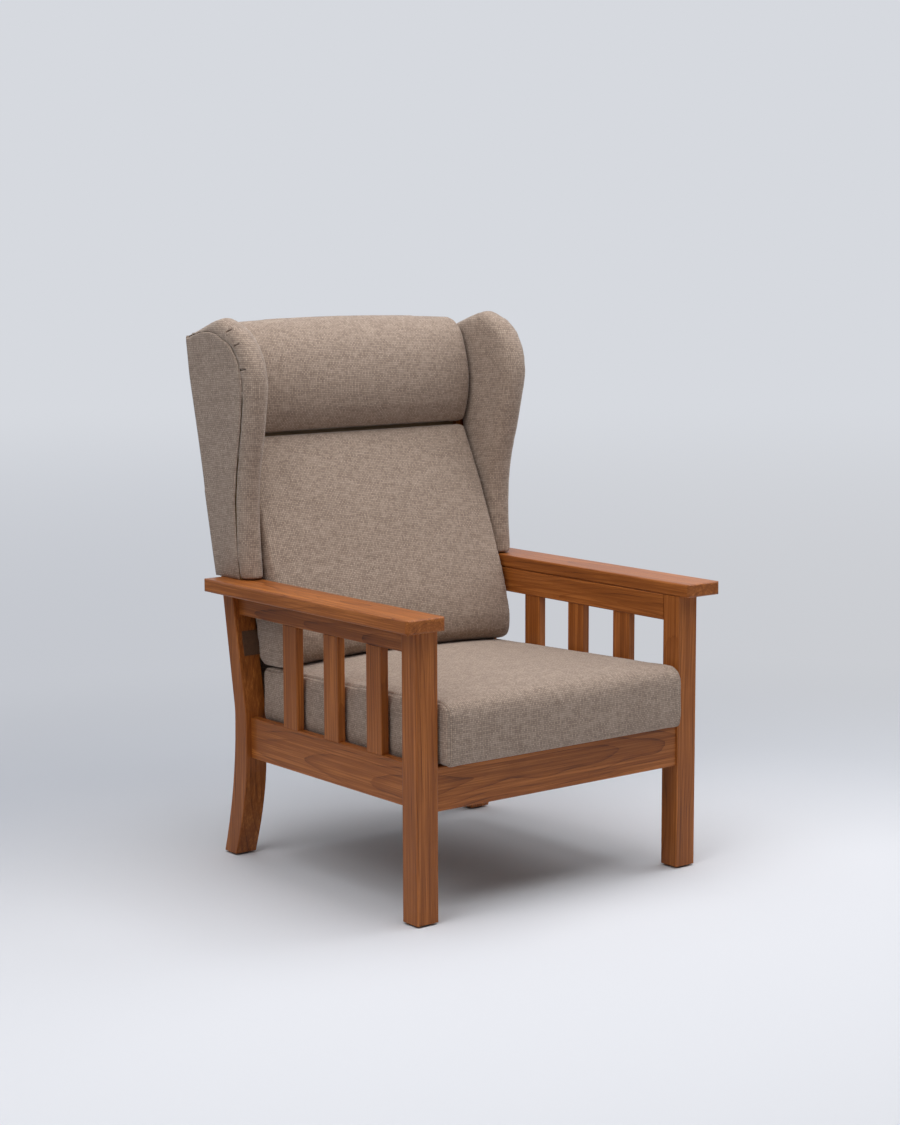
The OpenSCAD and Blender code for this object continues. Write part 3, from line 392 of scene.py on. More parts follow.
# How far from the middle of the painted pool of light the floor turns to painted shade, shines by itself and joins
# the horizon
FLOOR_PAINTED_SHADE_SPAN = (1.3, 2.4)
FLOOR_GLOWS = (1.9, 3.6)
FLOOR_JOINS_HORIZON = (3.0, 15.0)
ROOM_LIGHT = 0.08
ROOM_TINT = (0.93, 0.96, 1.0, 1)
COOL = (0.97, 0.98, 1.0)
WARM = (1.0, 0.98, 0.95)
# Each lamp's place, aim, width, power and tint
LAMPS = (
    ("top lamp", (0.1, -0.6, 3.8), (0, -0.1, 0.3), 4.2, 128.0, COOL),
    ("left lamp", (-2.6, -0.8, 3.0), (0, 0, 0.5), 2.6, 46.0, COOL),
    ("right lamp", (3.0, -0.6, 2.6), (0, 0, 0.6), 2.6, 44.0, COOL),
    ("key lamp", (2.2, -3.2, 2.6), (0, 0, 0.5), 2.6, 6.0, WARM),
    ("back lamp", (0.0, 2.6, 3.4), (0, 0, 0.5), 3.0, 12.0, COOL),
)


# ---- cloth and filling

def link(name, mesh):
    piece = bpy.data.objects.new(name, mesh)
    scene.collection.objects.link(piece)
    return piece


def opened(mesh):
    """A form that holds a copy of a mesh, to be worked on."""
    form = bmesh.new()
    form.from_mesh(mesh)
    return form


def closed(form, mesh):
    """Writes a form into a mesh, and frees it."""
    form.to_mesh(mesh)
    form.free()
    return mesh


def mesh_of(form, name):
    return closed(form, bpy.data.meshes.new(name))


def settle(piece):
    """Replaces a piece's mesh by what its modifiers make of it, and takes them off."""
    depsgraph = bpy.context.evaluated_depsgraph_get()
    made = bpy.data.meshes.new_from_object(piece.evaluated_get(depsgraph))
    made.name = piece.name
    piece.modifiers.clear()
    old, piece.data = piece.data, made
    bpy.data.meshes.remove(old)


def shells_of(node):
    """A merged copy of a node's mesh, and the points of each of its separate shells."""
    form = opened(NODES[node].data)
    bmesh.ops.remove_doubles(form, verts=form.verts, dist=0.00002)
    seen, shells = set(), []
    for seed in form.verts:
        if seed in seen:
            continue
        seen.add(seed)
        shell = [seed]
        for vert in shell:
            for other in (e.other_vert(vert) for e in vert.link_edges):
                if other not in seen:
                    seen.add(other)
                    shell.append(other)
        shells.append(shell)
    return form, shells


def outer_skin(node):
    """A merged copy of a cover's mesh, without the hollow for its foam."""
    form, shells = shells_of(node)

    def reach(shell):
        return max(v.co.z for v in shell) - min(v.co.z for v in shell) + max(v.co.x for v in shell)
    keep = set(max(shells, key=reach))
    bmesh.ops.delete(form, geom=[v for v in form.verts if v not in keep], context="VERTS")
    return form


def read(items, name, width=1, kind=float):
    """One property of a mesh's points, edges, corners or faces, as an array."""
    flat = np.empty(len(items) * width, kind)
    items.foreach_get(name, flat)
    return flat.reshape(-1, width) if width > 1 else flat


def points_of(mesh):
    return read(mesh.vertices, "co", 3)


def normals_of(mesh):
    return read(mesh.vertex_normals, "vector", 3)


def move_points(mesh, points):
    mesh.vertices.foreach_set("co", np.ascontiguousarray(points).ravel())
    mesh.update()


def evened(mesh, values, rounds, share=0.5):
    """Vectors at a mesh's points, each brought a share of the way to the mean of its neighbours'."""
    edges = read(mesh.edges, "vertices", 2, int)
    values = values.copy()
    count = np.bincount(edges.ravel(), minlength=len(values))[:, None]
    for _ in range(rounds):
        total = np.stack([np.bincount(edges[:, 0], values[edges[:, 1], i], len(values))
                          + np.bincount(edges[:, 1], values[edges[:, 0], i], len(values)) for i in range(3)], axis=1)
        values += share * (total / count - values)
    return values


def relax(mesh, rounds):
    move_points(mesh, evened(mesh, points_of(mesh), rounds))


# How far a cushion is drawn in before it is filled, how far it may end outside and inside its cut
# size, and how its creases are told from the swell of the whole
DRAW_IN = 0.004
PROUD = 0.0002
SLACK = 0.0016
LOOSE_CLOTH = -0.02
FILL_STEPS = 20
FILL_PRESSURE = 4.0
CREASE_ROUNDS = 40
CREASE_CAP = 0.004


def even_piece(name, form, voxel):
    """A piece in the shape of a form, with a mesh of even faces."""
    mesh = bpy.data.meshes.new(name)
    form.to_mesh(mesh)
    piece = link(name, mesh)
    remesh = piece.modifiers.new("even mesh", "REMESH")
    remesh.mode = "VOXEL"
    remesh.voxel_size = voxel
    settle(piece)
    relax(piece.data, 2)
    return piece


def creases(piece):
    """Draws a piece in and blows it up as cloth. Gives how the creases move each point, within a
    cap, without the slow change of the whole."""
    mesh = piece.data
    start = points_of(mesh)
    move_points(mesh, start - normals_of(mesh) * DRAW_IN)
    filling = piece.modifiers.new("filling", "CLOTH")
    cloth = filling.settings
    cloth.quality = 4
    cloth.mass = 0.3
    cloth.shrink_min = LOOSE_CLOTH
    cloth.use_pressure = True
    cloth.uniform_pressure_force = FILL_PRESSURE
    cloth.effector_weights.gravity = 0
    filling.point_cache.frame_start = 1
    filling.point_cache.frame_end = FILL_STEPS
    for step in range(1, FILL_STEPS + 1):
        scene.frame_set(step)
    held = piece.evaluated_get(bpy.context.evaluated_depsgraph_get())
    move = points_of(held.data) - start
    piece.modifiers.clear()
    scene.frame_set(1)
    move -= evened(mesh, move, CREASE_ROUNDS)
    reach = np.linalg.norm(move, axis=1)[:, None]
    return move * np.minimum(1, CREASE_CAP / np.maximum(reach, 1e-9))


def fill_out(name, node, voxel):
    """Makes a padded piece from its cover's solid: creased as filled cloth is, and close to the size
    that the cover was cut to."""
    skin = outer_skin(node)
    piece = even_piece(name, skin, voxel)
    cut = BVHTree.FromBMesh(skin)
    skin.free()
    blown = points_of(piece.data)
    blown += creases(piece)
    for i, point in enumerate(blown):
        spot, normal, _, _ = cut.find_nearest(Vector(point))
        out = (Vector(point) - spot).dot(normal)
        if out > PROUD or out < -SLACK:
            blown[i] = spot + normal * max(-SLACK, min(PROUD, out))
    move_points(piece.data, blown)
    relax(piece.data, 3)
    finer = piece.modifiers.new("finer", "SUBSURF")
    finer.levels = finer.render_levels = 1
    settle(piece)
    return piece


def loop_at(form, x):
    """The outline where a form is cut across at x, as points in order. It starts at the low back."""
    cut = form.copy()
    found = bmesh.ops.bisect_plane(cut, geom=cut.verts[:] + cut.edges[:] + cut.faces[:],
                                   plane_co=(x, 0, 0), plane_no=(1, 0, 0))["geom_cut"]
    edges = set(e for e in found if isinstance(e, bmesh.types.BMEdge))
    edge = max(edges, key=lambda e: sum(v.co.y - v.co.z for v in e.verts))
    path, vert = [], edge.verts[0]
    while edge is not None:
        path.append(vert.co.copy())
        edges.discard(edge)
        vert = edge.other_vert(vert)
        edge = next((e for e in vert.link_edges if e in edges), None)
    cut.free()
    return path


def travelled(points, axis=0):
    """How far each point of a path, or of each row or column of a grid, is from the start of it."""
    steps = np.linalg.norm(np.diff(points, axis=axis), axis=-1)
    return np.insert(np.cumsum(steps, axis=axis), 0, 0, axis=axis)


def placed(points, at):
    """The places at some lengths along a path."""
    length = travelled(points)
    return np.stack([np.interp(at, length, points[:, i]) for i in range(3)], axis=1)


def even(path, step):
    """The same closed path as points one step apart, and its length."""
    points = np.array([tuple(p) for p in path] + [tuple(path[0])])
    length = travelled(points)[-1]
    count = max(2, int(round(length / step)))
    return placed(points, np.linspace(0, length, count + 1)[:count]), length


PATH_STEP = 0.004


class Tape:
    """A tape laid round a section in Y and Z: says how far along it any point is."""

    def __init__(self, path):
        self.points, self.length = even(path, PATH_STEP)
        self.step = self.length / len(self.points)
        ahead = np.roll(self.points, -1, axis=0) - np.roll(self.points, 1, axis=0)
        self.way = (ahead / np.linalg.norm(ahead, axis=1)[:, None])[:, 1:]
        self.points = self.points[:, 1:]

    def at(self, points):
        found = np.empty(len(points))
        for first in range(0, len(points), 4000):
            part = points[first:first + 4000, 1:]
            gap = part[:, None] - self.points[None]
            i = np.argmin((gap ** 2).sum(axis=2), axis=1)
            on = gap[np.arange(len(part)), i]
            found[first:first + 4000] = i * self.step + (on * self.way[i]).sum(axis=1)
        return found


# A step in the tape's length that only its closing point can give
WRAP_JUMP = 0.25


def lay_threads(mesh, places=None, other=None, other_axes=(1, 2), around=0.0):
    """Gives each face corner its place on the cloth, in metres. places holds the place of each point
    on the main piece of cloth. other(face centres, normals) marks the faces that are cut from
    another piece of cloth, which lies in other_axes. around is the length of a tape that closes."""
    corner = read(mesh.loops, "vertex_index", kind=np.int32)
    others = (points_of(mesh)[:, other_axes] + (0.7, 0.3))[corner]
    if places is None:
        laid = others
    else:
        laid = places[corner]
        total = read(mesh.polygons, "loop_total", kind=np.int32)
        if around:
            start = read(mesh.polygons, "loop_start", kind=np.int32)
            high = np.repeat(np.maximum.reduceat(laid[:, 1], start), total)
            laid[:, 1] += around * (high - laid[:, 1] > WRAP_JUMP)
        if other is not None:
            mark = other(read(mesh.polygons, "center", 3), read(mesh.polygons, "normal", 3))
            mark = np.repeat(mark, total)
            laid[mark] = others[mark]
    mesh.uv_layers.new(name="threads").data.foreach_set("uv", laid.ravel())


def shade_seams(mesh, shade=0.0):
    """Says how far each point of a mesh lies in the painted shade line of a seam."""
    mark = mesh.attributes.new("seam", "FLOAT", "POINT")
    mark.data.foreach_set("value", np.full(len(mesh.vertices), shade, float))


# Seams: a shallow valley where two pieces of cloth are sewn, a little puckered by the thread, with a line of painted
# shade along it
VALLEY_HALF = 0.0036
VALLEY_DEPTH = 0.0019
PUCKER = 0.00045
PUCKER_STEP = 0.0125
PUCKER_REACH = 0.022
# Half the width of the painted shade line along a seam
SEAM_LINE_HALF = 0.0012
# How near the seam the mesh is made finer, twice
SEAM_FINER = (0.010, 0.0062)


def hump(off, half):
    """Rises to 1 in the middle, from 0 at half a width either way."""
    return np.clip(1 - (off / half) ** 2, 0, None)


def refine(form, close):
    """Halves the edges of a form that have both ends close to something."""
    bmesh.ops.subdivide_edges(form, edges=[e for e in form.edges if all(close(v) for v in e.verts)],
                              cuts=1, use_grid_fill=True)


def sew_ends(piece, seam_x, pucker=PUCKER, depth=VALLEY_DEPTH, line=1.0):
    """Sews the ends of a cushion on: a seam runs round it at seam_x from the middle, on both sides. line is how
    strong the painted shade along the seam is.
    """
    form = opened(piece.data)
    for reach in SEAM_FINER:
        refine(form, lambda vert: abs(abs(vert.co.x) - seam_x) < reach)
    tape = Tape(loop_at(form, 0.0))
    mesh = closed(form, piece.data)
    points, normals = points_of(mesh), normals_of(mesh)
    off = np.abs(points[:, 0]) - seam_x
    s = tape.at(points)
    valley = hump(off, VALLEY_HALF) ** 2
    # A wave that is uneven both along the seam and in height
    wave = np.sin(2 * math.pi * s / PUCKER_STEP + 2.1 * np.sin(s * 37)) * (0.6 + 0.4 * np.sin(s * 91))
    near = np.clip(1 - np.abs(off) / PUCKER_REACH, 0, None) ** 2 * (np.abs(normals[:, 0]) < 0.9)
    points += normals * (pucker * wave * near - depth * valley)[:, None]
    move_points(mesh, points)
    # Painted shade along the line of the seam
    shade_seams(mesh, line * hump(off, SEAM_LINE_HALF))
    lay_threads(mesh, np.stack([points[:, 0], s], axis=1),
                lambda centre, normal: np.abs(centre[:, 0]) > seam_x - 0.001, around=tape.length)
    mesh.shade_smooth()


def finish(mesh, material):
    mesh.materials.clear()
    mesh.materials.append(material)


def finish_piece(piece, body, slot, material, *nodes, fill=None):
    """Gives a piece its finish and its body, and hides the nodes that it replaces. Its slot and fill are not used.
    """
    finish(piece.data, material)
    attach(piece, body)
    if nodes:
        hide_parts(*nodes)


def foam_core(name, node, body, material):
    """A block of foam, its edges eased by the cover that is pulled over it."""
    form = outer_skin(node)
    piece = even_piece(name, form, FOAM_VOXEL)
    form.free()
    piece.data.shade_smooth()
    finish_piece(piece, body, "foam", material, node, fill=CUSHION_FILL)


# ---- rows of small things

def repeated(r, given, wanted, points, one, **place):
    """Ends a group that puts one small form at every point, and gives its tree."""
    many = r.step("GeometryNodeInstanceOnPoints", {"Points": points, "Instance": one, **place}).outputs[0]
    real = r.step("GeometryNodeRealizeInstances", {0: many}).outputs[0]
    done = r.step("GeometryNodeSetMaterial", {"Geometry": real, "Material": given["Finish"]}).outputs[0]
    r.fill(wanted, {"Row": done})
    return r.tree


def row_tree():
    """Small rounded things in a row along a path, such as stitches of thread."""
    r, given, wanted = start_group(
        "row along a path", {"Path": "Geometry", "Step": "Float", "Size": "Vector", "Finish": "Material"},
        {"Row": "Geometry"}, "GeometryNodeTree")
    path = r.step("GeometryNodeMeshToCurve", {0: given["Path"]}).outputs[0]
    places = r.step("GeometryNodeResampleCurve", {"Curve": path, "Length": given["Step"]}, mode="LENGTH").outputs[0]
    way = r.step("GeometryNodeInputTangent").outputs[0]
    turn = r.step("FunctionNodeAlignEulerToVector", {"Vector": way}, axis="X").outputs[0]
    bead = r.step("GeometryNodeMeshUVSphere", {"Segments": 6, "Rings": 4, "Radius": 1.0}).outputs[0]
    return repeated(r, given, wanted, places, bead, Rotation=turn, Scale=given["Size"])


def teeth_tree():
    """Zip teeth: a line of small blocks, turn about on one tape and the other."""
    r, given, wanted = start_group(
        "zip teeth", {"Start": "Geometry", "Teeth": "Int", "Step": "Float", "Tooth": "Vector", "Offset": "Float",
                      "First": "Vector", "Finish": "Material"}, {"Row": "Geometry"}, "GeometryNodeTree")
    line = r.step("GeometryNodeMeshLine", {"Count": given["Teeth"], "Start Location": given["First"],
                                           "Offset": r.point(given["Step"], 0.0)}).outputs[0]
    side = r.times_plus(r.sum("MODULO", r.step("GeometryNodeInputIndex").outputs[0], 2.0), 2.0, -1.0)
    shift = r.point(0.0, 0.0, r.times(side, given["Offset"]))
    staggered = r.step("GeometryNodeSetPosition", {"Geometry": line, "Offset": shift}).outputs[0]
    block = r.step("GeometryNodeMeshCube", {"Size": given["Tooth"]}).outputs[0]
    return repeated(r, given, wanted, staggered, block)


def grow(name, mesh, tree, **values):
    """Runs a node tree on a mesh and keeps the result as a plain mesh. Values go by input name."""
    piece = link(name, mesh)
    maker = piece.modifiers.new(tree.name, "NODES")
    maker.node_group = tree
    for item in tree.interface.items_tree:
        if item.item_type == "SOCKET" and item.in_out == "INPUT" and item.name in values:
            maker[item.identifier] = values[item.name]
    settle(piece)
    return piece


def rings_mesh(rings):
    """Closed paths as a mesh of edges."""
    mesh = bpy.data.meshes.new("paths")
    points, edges = [], []
    for ring in rings:
        first, count = len(points), len(ring)
        points += [tuple(p) for p in ring]
        edges += [(first + i, first + (i + 1) % count) for i in range(count)]
    mesh.from_pydata(points, edges, [])
    return mesh


ROW = row_tree()
TEETH = teeth_tree()


# ---- thin covered panels

def two_sided(rows, cols, first=0):
    """The faces of a thin sheet, from a grid of points for each side: both sides and the rim."""
    count = rows * cols

    def at(i, j):
        return first + i * cols + j
    faces = []
    for i in range(rows - 1):
        for j in range(cols - 1):
            quad = at(i, j), at(i, j + 1), at(i + 1, j + 1), at(i + 1, j)
            faces += [quad, tuple(k + count for k in reversed(quad))]
    rim = ([at(0, j) for j in range(cols)] + [at(i, cols - 1) for i in range(1, rows)]
           + [at(rows - 1, j) for j in range(cols - 2, -1, -1)] + [at(i, 0) for i in range(rows - 2, 0, -1)])
    return faces + [(a, b, b + count, a + count) for a, b in zip(rim, rim[1:] + rim[:1])]


def sheet(name, points, faces):
    """A piece from points and faces, its normals turned outwards."""
    mesh = bpy.data.meshes.new(name)
    mesh.from_pydata([tuple(p) for p in points], [], faces)
    form = opened(mesh)
    bmesh.ops.remove_doubles(form, verts=form.verts, dist=0.00001)
    bmesh.ops.recalc_face_normals(form, faces=form.faces)
    return link(name, closed(form, mesh))


def covered_panel(name, grid, inward, thick, sink, fade):
    """A panel with cloth pulled over it, from a grid of points on its outer face. Its border
    sinks a little, where the cloth turns over the edge."""
    rows, cols = grid.shape[:2]
    left, top = travelled(grid, axis=1), travelled(grid, axis=0)
    edge = np.minimum(np.minimum(left, left[:, -1:] - left), np.minimum(top, top[-1:, :] - top))
    outer = grid + np.asarray(inward) * (sink * np.exp(-edge / fade))[..., None]
    inner = grid + np.asarray(inward) * thick
    piece = sheet(name, np.concatenate([outer.reshape(-1, 3), inner.reshape(-1, 3)]), two_sided(rows, cols))
    piece.data.shade_smooth()
    return piece


def spaced(path, count):
    """A path as so many points, evenly spaced."""
    points = np.array([tuple(p) for p in path])
    return placed(points, np.linspace(0, travelled(points)[-1], count))


def between(a, b, share):
    return a * (1 - share) + b * share


def patch(bottom, top, left, right, rows, cols):
    """A grid stretched between four border paths: left and right run from bottom to top."""
    bottom, top = spaced(bottom, cols), spaced(top, cols)
    left, right = spaced(left, rows), spaced(right, rows)
    s = np.linspace(0, 1, cols)[None, :, None]
    t = np.linspace(0, 1, rows)[:, None, None]
    corners = between(between(bottom[0], bottom[-1], s), between(top[0], top[-1], s), t)
    return between(left[:, None], right[:, None], s) + between(bottom[None], top[None], t) - corners


# The wing's cloth panel: how it laps over the padding, and turns round the back edge
PANEL_ROWS, PANEL_COLUMNS = 92, 42
PANEL_LAP = 0.003
PANEL_LAP_FADE = 0.03
PANEL_SINK = 0.002
PANEL_FADE = 0.0026
PANEL_THICK = 0.0028
TURN_COLUMNS = 6
TURN_GAP = 0.0012
PANEL_FILL = 1.0


def wing_border(node, side):
    """The border of a wing's outer panel, from its CAD solid: foot front, then up, over and down.
    Gives its points and the places of its crest, top back corner and foot back corner among them."""
    form = outer_skin(node)
    form.normal_update()
    rim = {e for e in form.edges if sum(face.normal.x * side > 0.5 for face in e.link_faces) == 1}
    vert = min((v for e in rim for v in e.verts), key=lambda v: (round(v.co.z, 4), v.co.y))
    path = []
    while choices := [e for e in vert.link_edges if e in rim]:
        path.append(tuple(vert.co))
        edge = max(choices, key=lambda e: e.other_vert(vert).co.z)
        rim.discard(edge)
        vert = edge.other_vert(vert)
    form.free()
    path = np.array(path)
    # The middle of a fan of faces, to which the border only steps aside, is left out
    before, after = np.roll(path, 1, axis=0), np.roll(path, -1, axis=0)
    aside = (np.linalg.norm(after - before, axis=1) < 0.001) & (np.linalg.norm(path - before, axis=1) > 0.02)
    path = path[~aside]
    crest = int(np.argmax(path[:, 2]))
    corner = crest + int(np.argmax(path[crest:, 1] + 0.35 * path[crest:, 2]))
    low = np.flatnonzero(path[:, 2] < path[:, 2].min() + 0.0005)
    return path, crest, corner, int(low[np.argmax(path[low, 1])])


def wing_panel(side, label, material):
    """The cloth panel on the outer face of a wing. It laps a little over the padding round it."""
    path, crest, corner, foot = wing_border("wing_panel_" + label, side)
    lean_z, lean_x = path[:crest + 1, 2], path[:crest + 1, 0]
    way = np.roll(path, -1, axis=0) - np.roll(path, 1, axis=0)
    way[0] = path[1] - path[0]
    out = np.stack([-way[:, 2], way[:, 1]], axis=1)
    out /= np.linalg.norm(out, axis=1)[:, None]
    to_corner = np.linalg.norm(path[:, 1:] - path[corner, 1:], axis=1)
    lap = PANEL_LAP * (np.arange(len(path)) < corner) * np.clip(to_corner / PANEL_LAP_FADE, 0, 1)
    path[:, 1:] += out * lap[:, None]
    path[0, 2] = path[foot, 2]
    grid = patch([path[0], path[foot]], path[crest:corner + 1], path[:crest + 1],
                 path[corner:foot + 1][::-1], PANEL_ROWS, PANEL_COLUMNS)
    grid[..., 0] = np.interp(grid[..., 2], lean_z, lean_x)
    # The cloth turns round the back edge and runs in to the outside back
    edge, turn = grid[:, -1:], np.linspace(0, 1, TURN_COLUMNS + 1)[1:]
    flap = np.repeat(edge, TURN_COLUMNS, axis=1)
    flap[..., 0] += (side * (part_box("outside_back_panel")[1].x + TURN_GAP) - edge[..., 0]) * turn
    grid = np.concatenate([grid, flap], axis=1)
    inward = np.zeros_like(grid)
    inward[:, :-TURN_COLUMNS - 1, 0] = -side
    inward[:, -TURN_COLUMNS - 1, :2] = -0.7 * side, -0.7
    inward[:, -TURN_COLUMNS:, 1] = -1
    piece = covered_panel("wing_cloth_" + label, grid, inward, PANEL_THICK, PANEL_SINK, PANEL_FADE)
    points = points_of(piece.data)
    past = side * (np.interp(points[:, 2], lean_z, lean_x) - points[:, 0]) - PANEL_THICK
    lay_threads(piece.data, np.stack([points[:, 1] + np.clip(past, 0, None), points[:, 2]], axis=1))
    shade_seams(piece.data)
    finish_piece(piece, "frame", "cloth", material, "wing_panel_" + label, fill=PANEL_FILL)


# ---- wings

WING_VOXEL = 0.005
WING_FILL = 0.9
# Tucks in the cloth where it is pulled round the scroll, as (Y, Z) from one end to the other
TUCKS = (((0.2403, 1.084), (0.2313, 1.0888)), ((0.2123, 1.057), (0.2015, 1.0616)),
         ((0.1953, 1.010), (0.1788, 1.0117)))
NOSE_HALF = 0.025
TUCK_DEPTH = 0.0032
TUCK_HALF = 0.0024
TUCK_REACH = 0.024
# Half the width of the painted shade line along each tuck
TUCK_LINE_HALF = 0.0013
# The cloth rises a little beside each tuck
RIDGE_HEIGHT = 0.0007
RIDGE_AT = 0.0042
RIDGE_HALF = 0.004
# How near a tuck the mesh is made finer, twice
TUCK_FINER = (0.009, 0.006)


def tuck_marks(points, side):
    """How far each point is from each tuck, and how strongly that tuck is pressed there."""
    out_x = np.interp(points[:, 2], *lean_of(points, side))
    fade = np.clip(1 - (out_x - side * points[:, 0]) / TUCK_REACH, 0, 1)
    found = []
    for a, b in TUCKS:
        a, b = np.array(a), np.array(b)
        t = np.clip(((points[:, 1:] - a) @ (b - a)) / ((b - a) @ (b - a)), 0, 1)
        found.append(np.linalg.norm(points[:, 1:] - (a + t[:, None] * (b - a)), axis=1))
    return found, fade


def lean_of(points, side):
    """The outermost X of a wing at each height."""
    heights = np.linspace(points[:, 2].min(), points[:, 2].max(), 40)
    step = heights[1] - heights[0]
    return heights, np.array([(side * points[np.abs(points[:, 2] - z) < step, 0]).max() for z in heights])


def fold_tucks(piece, side):
    """Presses three short tucks into the outer front edge of a wing, with a line of painted shade along each."""
    for reach in TUCK_FINER:
        found, fade = tuck_marks(points_of(piece.data), side)
        close = (np.min(found, axis=0) < reach) & (fade > 0)
        form = opened(piece.data)
        refine(form, lambda vert: close[vert.index])
        closed(form, piece.data)
    points, normals = points_of(piece.data), normals_of(piece.data)
    found, fade = tuck_marks(points, side)
    move, mark = np.zeros(len(points)), np.zeros(len(points))
    for distance in found:
        move += RIDGE_HEIGHT * hump(distance - RIDGE_AT, RIDGE_HALF) - TUCK_DEPTH * hump(distance, TUCK_HALF) ** 2
        mark = np.maximum(mark, hump(distance, TUCK_LINE_HALF))
    ease = np.minimum(1, fade * 2.5)
    points += normals * (move * ease)[:, None]
    move_points(piece.data, points)
    # Painted shade along the line of each tuck
    shade_seams(piece.data, mark * ease)


def wing_threads(piece, side):
    """The cloth of a wing goes round its nose: from the inner face, over the front, to the outer face."""
    points = points_of(piece.data)
    heights = np.arange(points[:, 2].min(), points[:, 2].max() + 0.01, 0.01)
    front, mid = [], []
    for z in heights:
        near = points[np.abs(points[:, 2] - z) < 0.012]
        front.append(near[:, 1].min())
        mid.append(near[near[:, 1] < near[:, 1].min() + 0.02, 0].mean())
    nose = np.interp(points[:, 2], heights, front) + NOSE_HALF
    out = (points[:, 0] - np.interp(points[:, 2], heights, mid)) * side
    wrap = np.where(points[:, 1] > nose, np.copysign(NOSE_HALF * math.pi / 2 + points[:, 1] - nose, out),
                    np.arctan2(out, np.maximum(1e-6, nose - points[:, 1])) * NOSE_HALF)
    lay_threads(piece.data, np.stack([wrap, points[:, 2]], axis=1),
                lambda centre, normal: np.abs(normal[:, 2]) > 0.8, (0, 1))


def wing_pads(material):
    """The padding of the wings: the left one is filled, and the right one is its mirror image."""
    left = fill_out("wing_left", "wing_pad_left", WING_VOXEL)
    form = opened(left.data)
    for vert in form.verts:
        vert.co.x = -vert.co.x
    bmesh.ops.reverse_faces(form, faces=form.faces)
    right = link("wing_right", mesh_of(form, "wing_right"))
    for piece, (side, label) in zip((left, right), SIDES):
        fold_tucks(piece, side)
        wing_threads(piece, side)
        piece.data.shade_smooth()
        finish_piece(piece, "frame", "cloth", material, "wing_pad_" + label, fill=WING_FILL)


# ---- back panels

BACK_ROWS, BACK_COLUMNS = 60, 64
BACK_THICK = 0.0055
BACK_SINK = 0.0014
BACK_FADE = 0.007


def back_panels(material):
    """Cloth panels that close the back of the chair."""
    for node, name in (("outside_back_panel", "outside_back"), ("lower_back_panel", "lower_back")):
        form = outer_skin(node)
        form.normal_update()
        low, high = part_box(node)
        tree = BVHTree.FromBMesh(form)
        form.free()
        grid = np.zeros((BACK_ROWS, BACK_COLUMNS, 3))
        grid[..., 0] = np.linspace(low.x, high.x, BACK_COLUMNS)
        for row, z in zip(grid, np.linspace(low.z + 0.001, high.z - 0.001, BACK_ROWS)):
            row[:, 1:] = tree.ray_cast(Vector((0, 2, z)), Vector((0, -1, 0)))[0].y, z
        lean = Vector((0, grid[-1, 0, 1] - grid[0, 0, 1], grid[-1, 0, 2] - grid[0, 0, 2])).normalized()
        piece = covered_panel(name, grid, (0, -lean.z, lean.y), BACK_THICK, BACK_SINK, BACK_FADE)
        lay_threads(piece.data, other_axes=(0, 2))
        shade_seams(piece.data)
        finish_piece(piece, "frame", "cloth", material, node, fill=PANEL_FILL)


# ---- webbing

STRAP_THICK = 0.0017
STRAP_ROWS, STRAP_COLUMNS = 34, 7
STRAP_CLEAR = 0.0002


def strap(points, along, sag):
    """The points of one webbing strap in the room of its solid, for both sides. along is the axis
    that it runs in, and sag the way and distance that it gives."""
    low, high = points.min(axis=0), points.max(axis=0)
    if along == 1:
        ends = [[np.array([x, y, low[2]]) for y in (low[1], high[1])] for x in (low[0], high[0])]
        up = np.array([0, 0, 1.0])
    else:
        foot = points[points[:, 2] < low[2] + 0.001][:, 1].min()
        head = points[points[:, 2] > high[2] - 0.001][:, 1].min()
        ends = [[np.array([x, y, z]) for x in (low[0], high[0])] for y, z in ((foot, low[2]), (head, high[2]))]
        up = np.cross([1.0, 0, 0], ends[1][0] - ends[0][0])
        up *= math.copysign(1 / np.linalg.norm(up), up[1])
    found = []
    for lift, selvedge in ((STRAP_CLEAR, STRAP_CLEAR), (STRAP_CLEAR + STRAP_THICK, -STRAP_CLEAR)):
        for t in np.linspace(0, 1, STRAP_ROWS):
            give = np.array(sag) * math.sin(math.pi * t) ** 2
            a, b = (between(*end, t) for end in ends)
            for s in np.linspace(0, 1, STRAP_COLUMNS):
                thin = selvedge if s in (0, 1) else 0.0
                found.append(between(a, b, s) + up * (lift + thin) + give)
    return found


def webbing(name, node, along, sag, material):
    """Woven straps in the room of a node's solids."""
    form, shells = shells_of(node)
    points, faces = [], []
    for shell in shells:
        faces += two_sided(STRAP_ROWS, STRAP_COLUMNS, len(points))
        points += strap(np.array([tuple(v.co) for v in shell]), along, sag)
    form.free()
    piece = sheet(name, points, faces)
    lay_threads(piece.data, other_axes=(0, 1) if along == 1 else (0, 2))
    shade_seams(piece.data)
    finish_piece(piece, "frame", "webbing", material, node)


# ---- zip

TOOTH = (0.0017, 0.0012, 0.0028)
TOOTH_STEP = 0.0026
TOOTH_OFFSET = 0.0008


def blocks(name, boxes, soft_edge):
    """Small blocks with softened edges, as one piece. Each is a centre and a size."""
    form = bmesh.new()
    for centre, size in boxes:
        bmesh.ops.create_cube(form, size=1.0, matrix=Matrix.Translation(centre) @ Matrix.Diagonal((*size, 1)))
    piece = link(name, mesh_of(form, name))
    soft = piece.modifiers.new("soft edge", "BEVEL")
    soft.width = soft_edge
    soft.segments = 2
    settle(piece)
    return piece


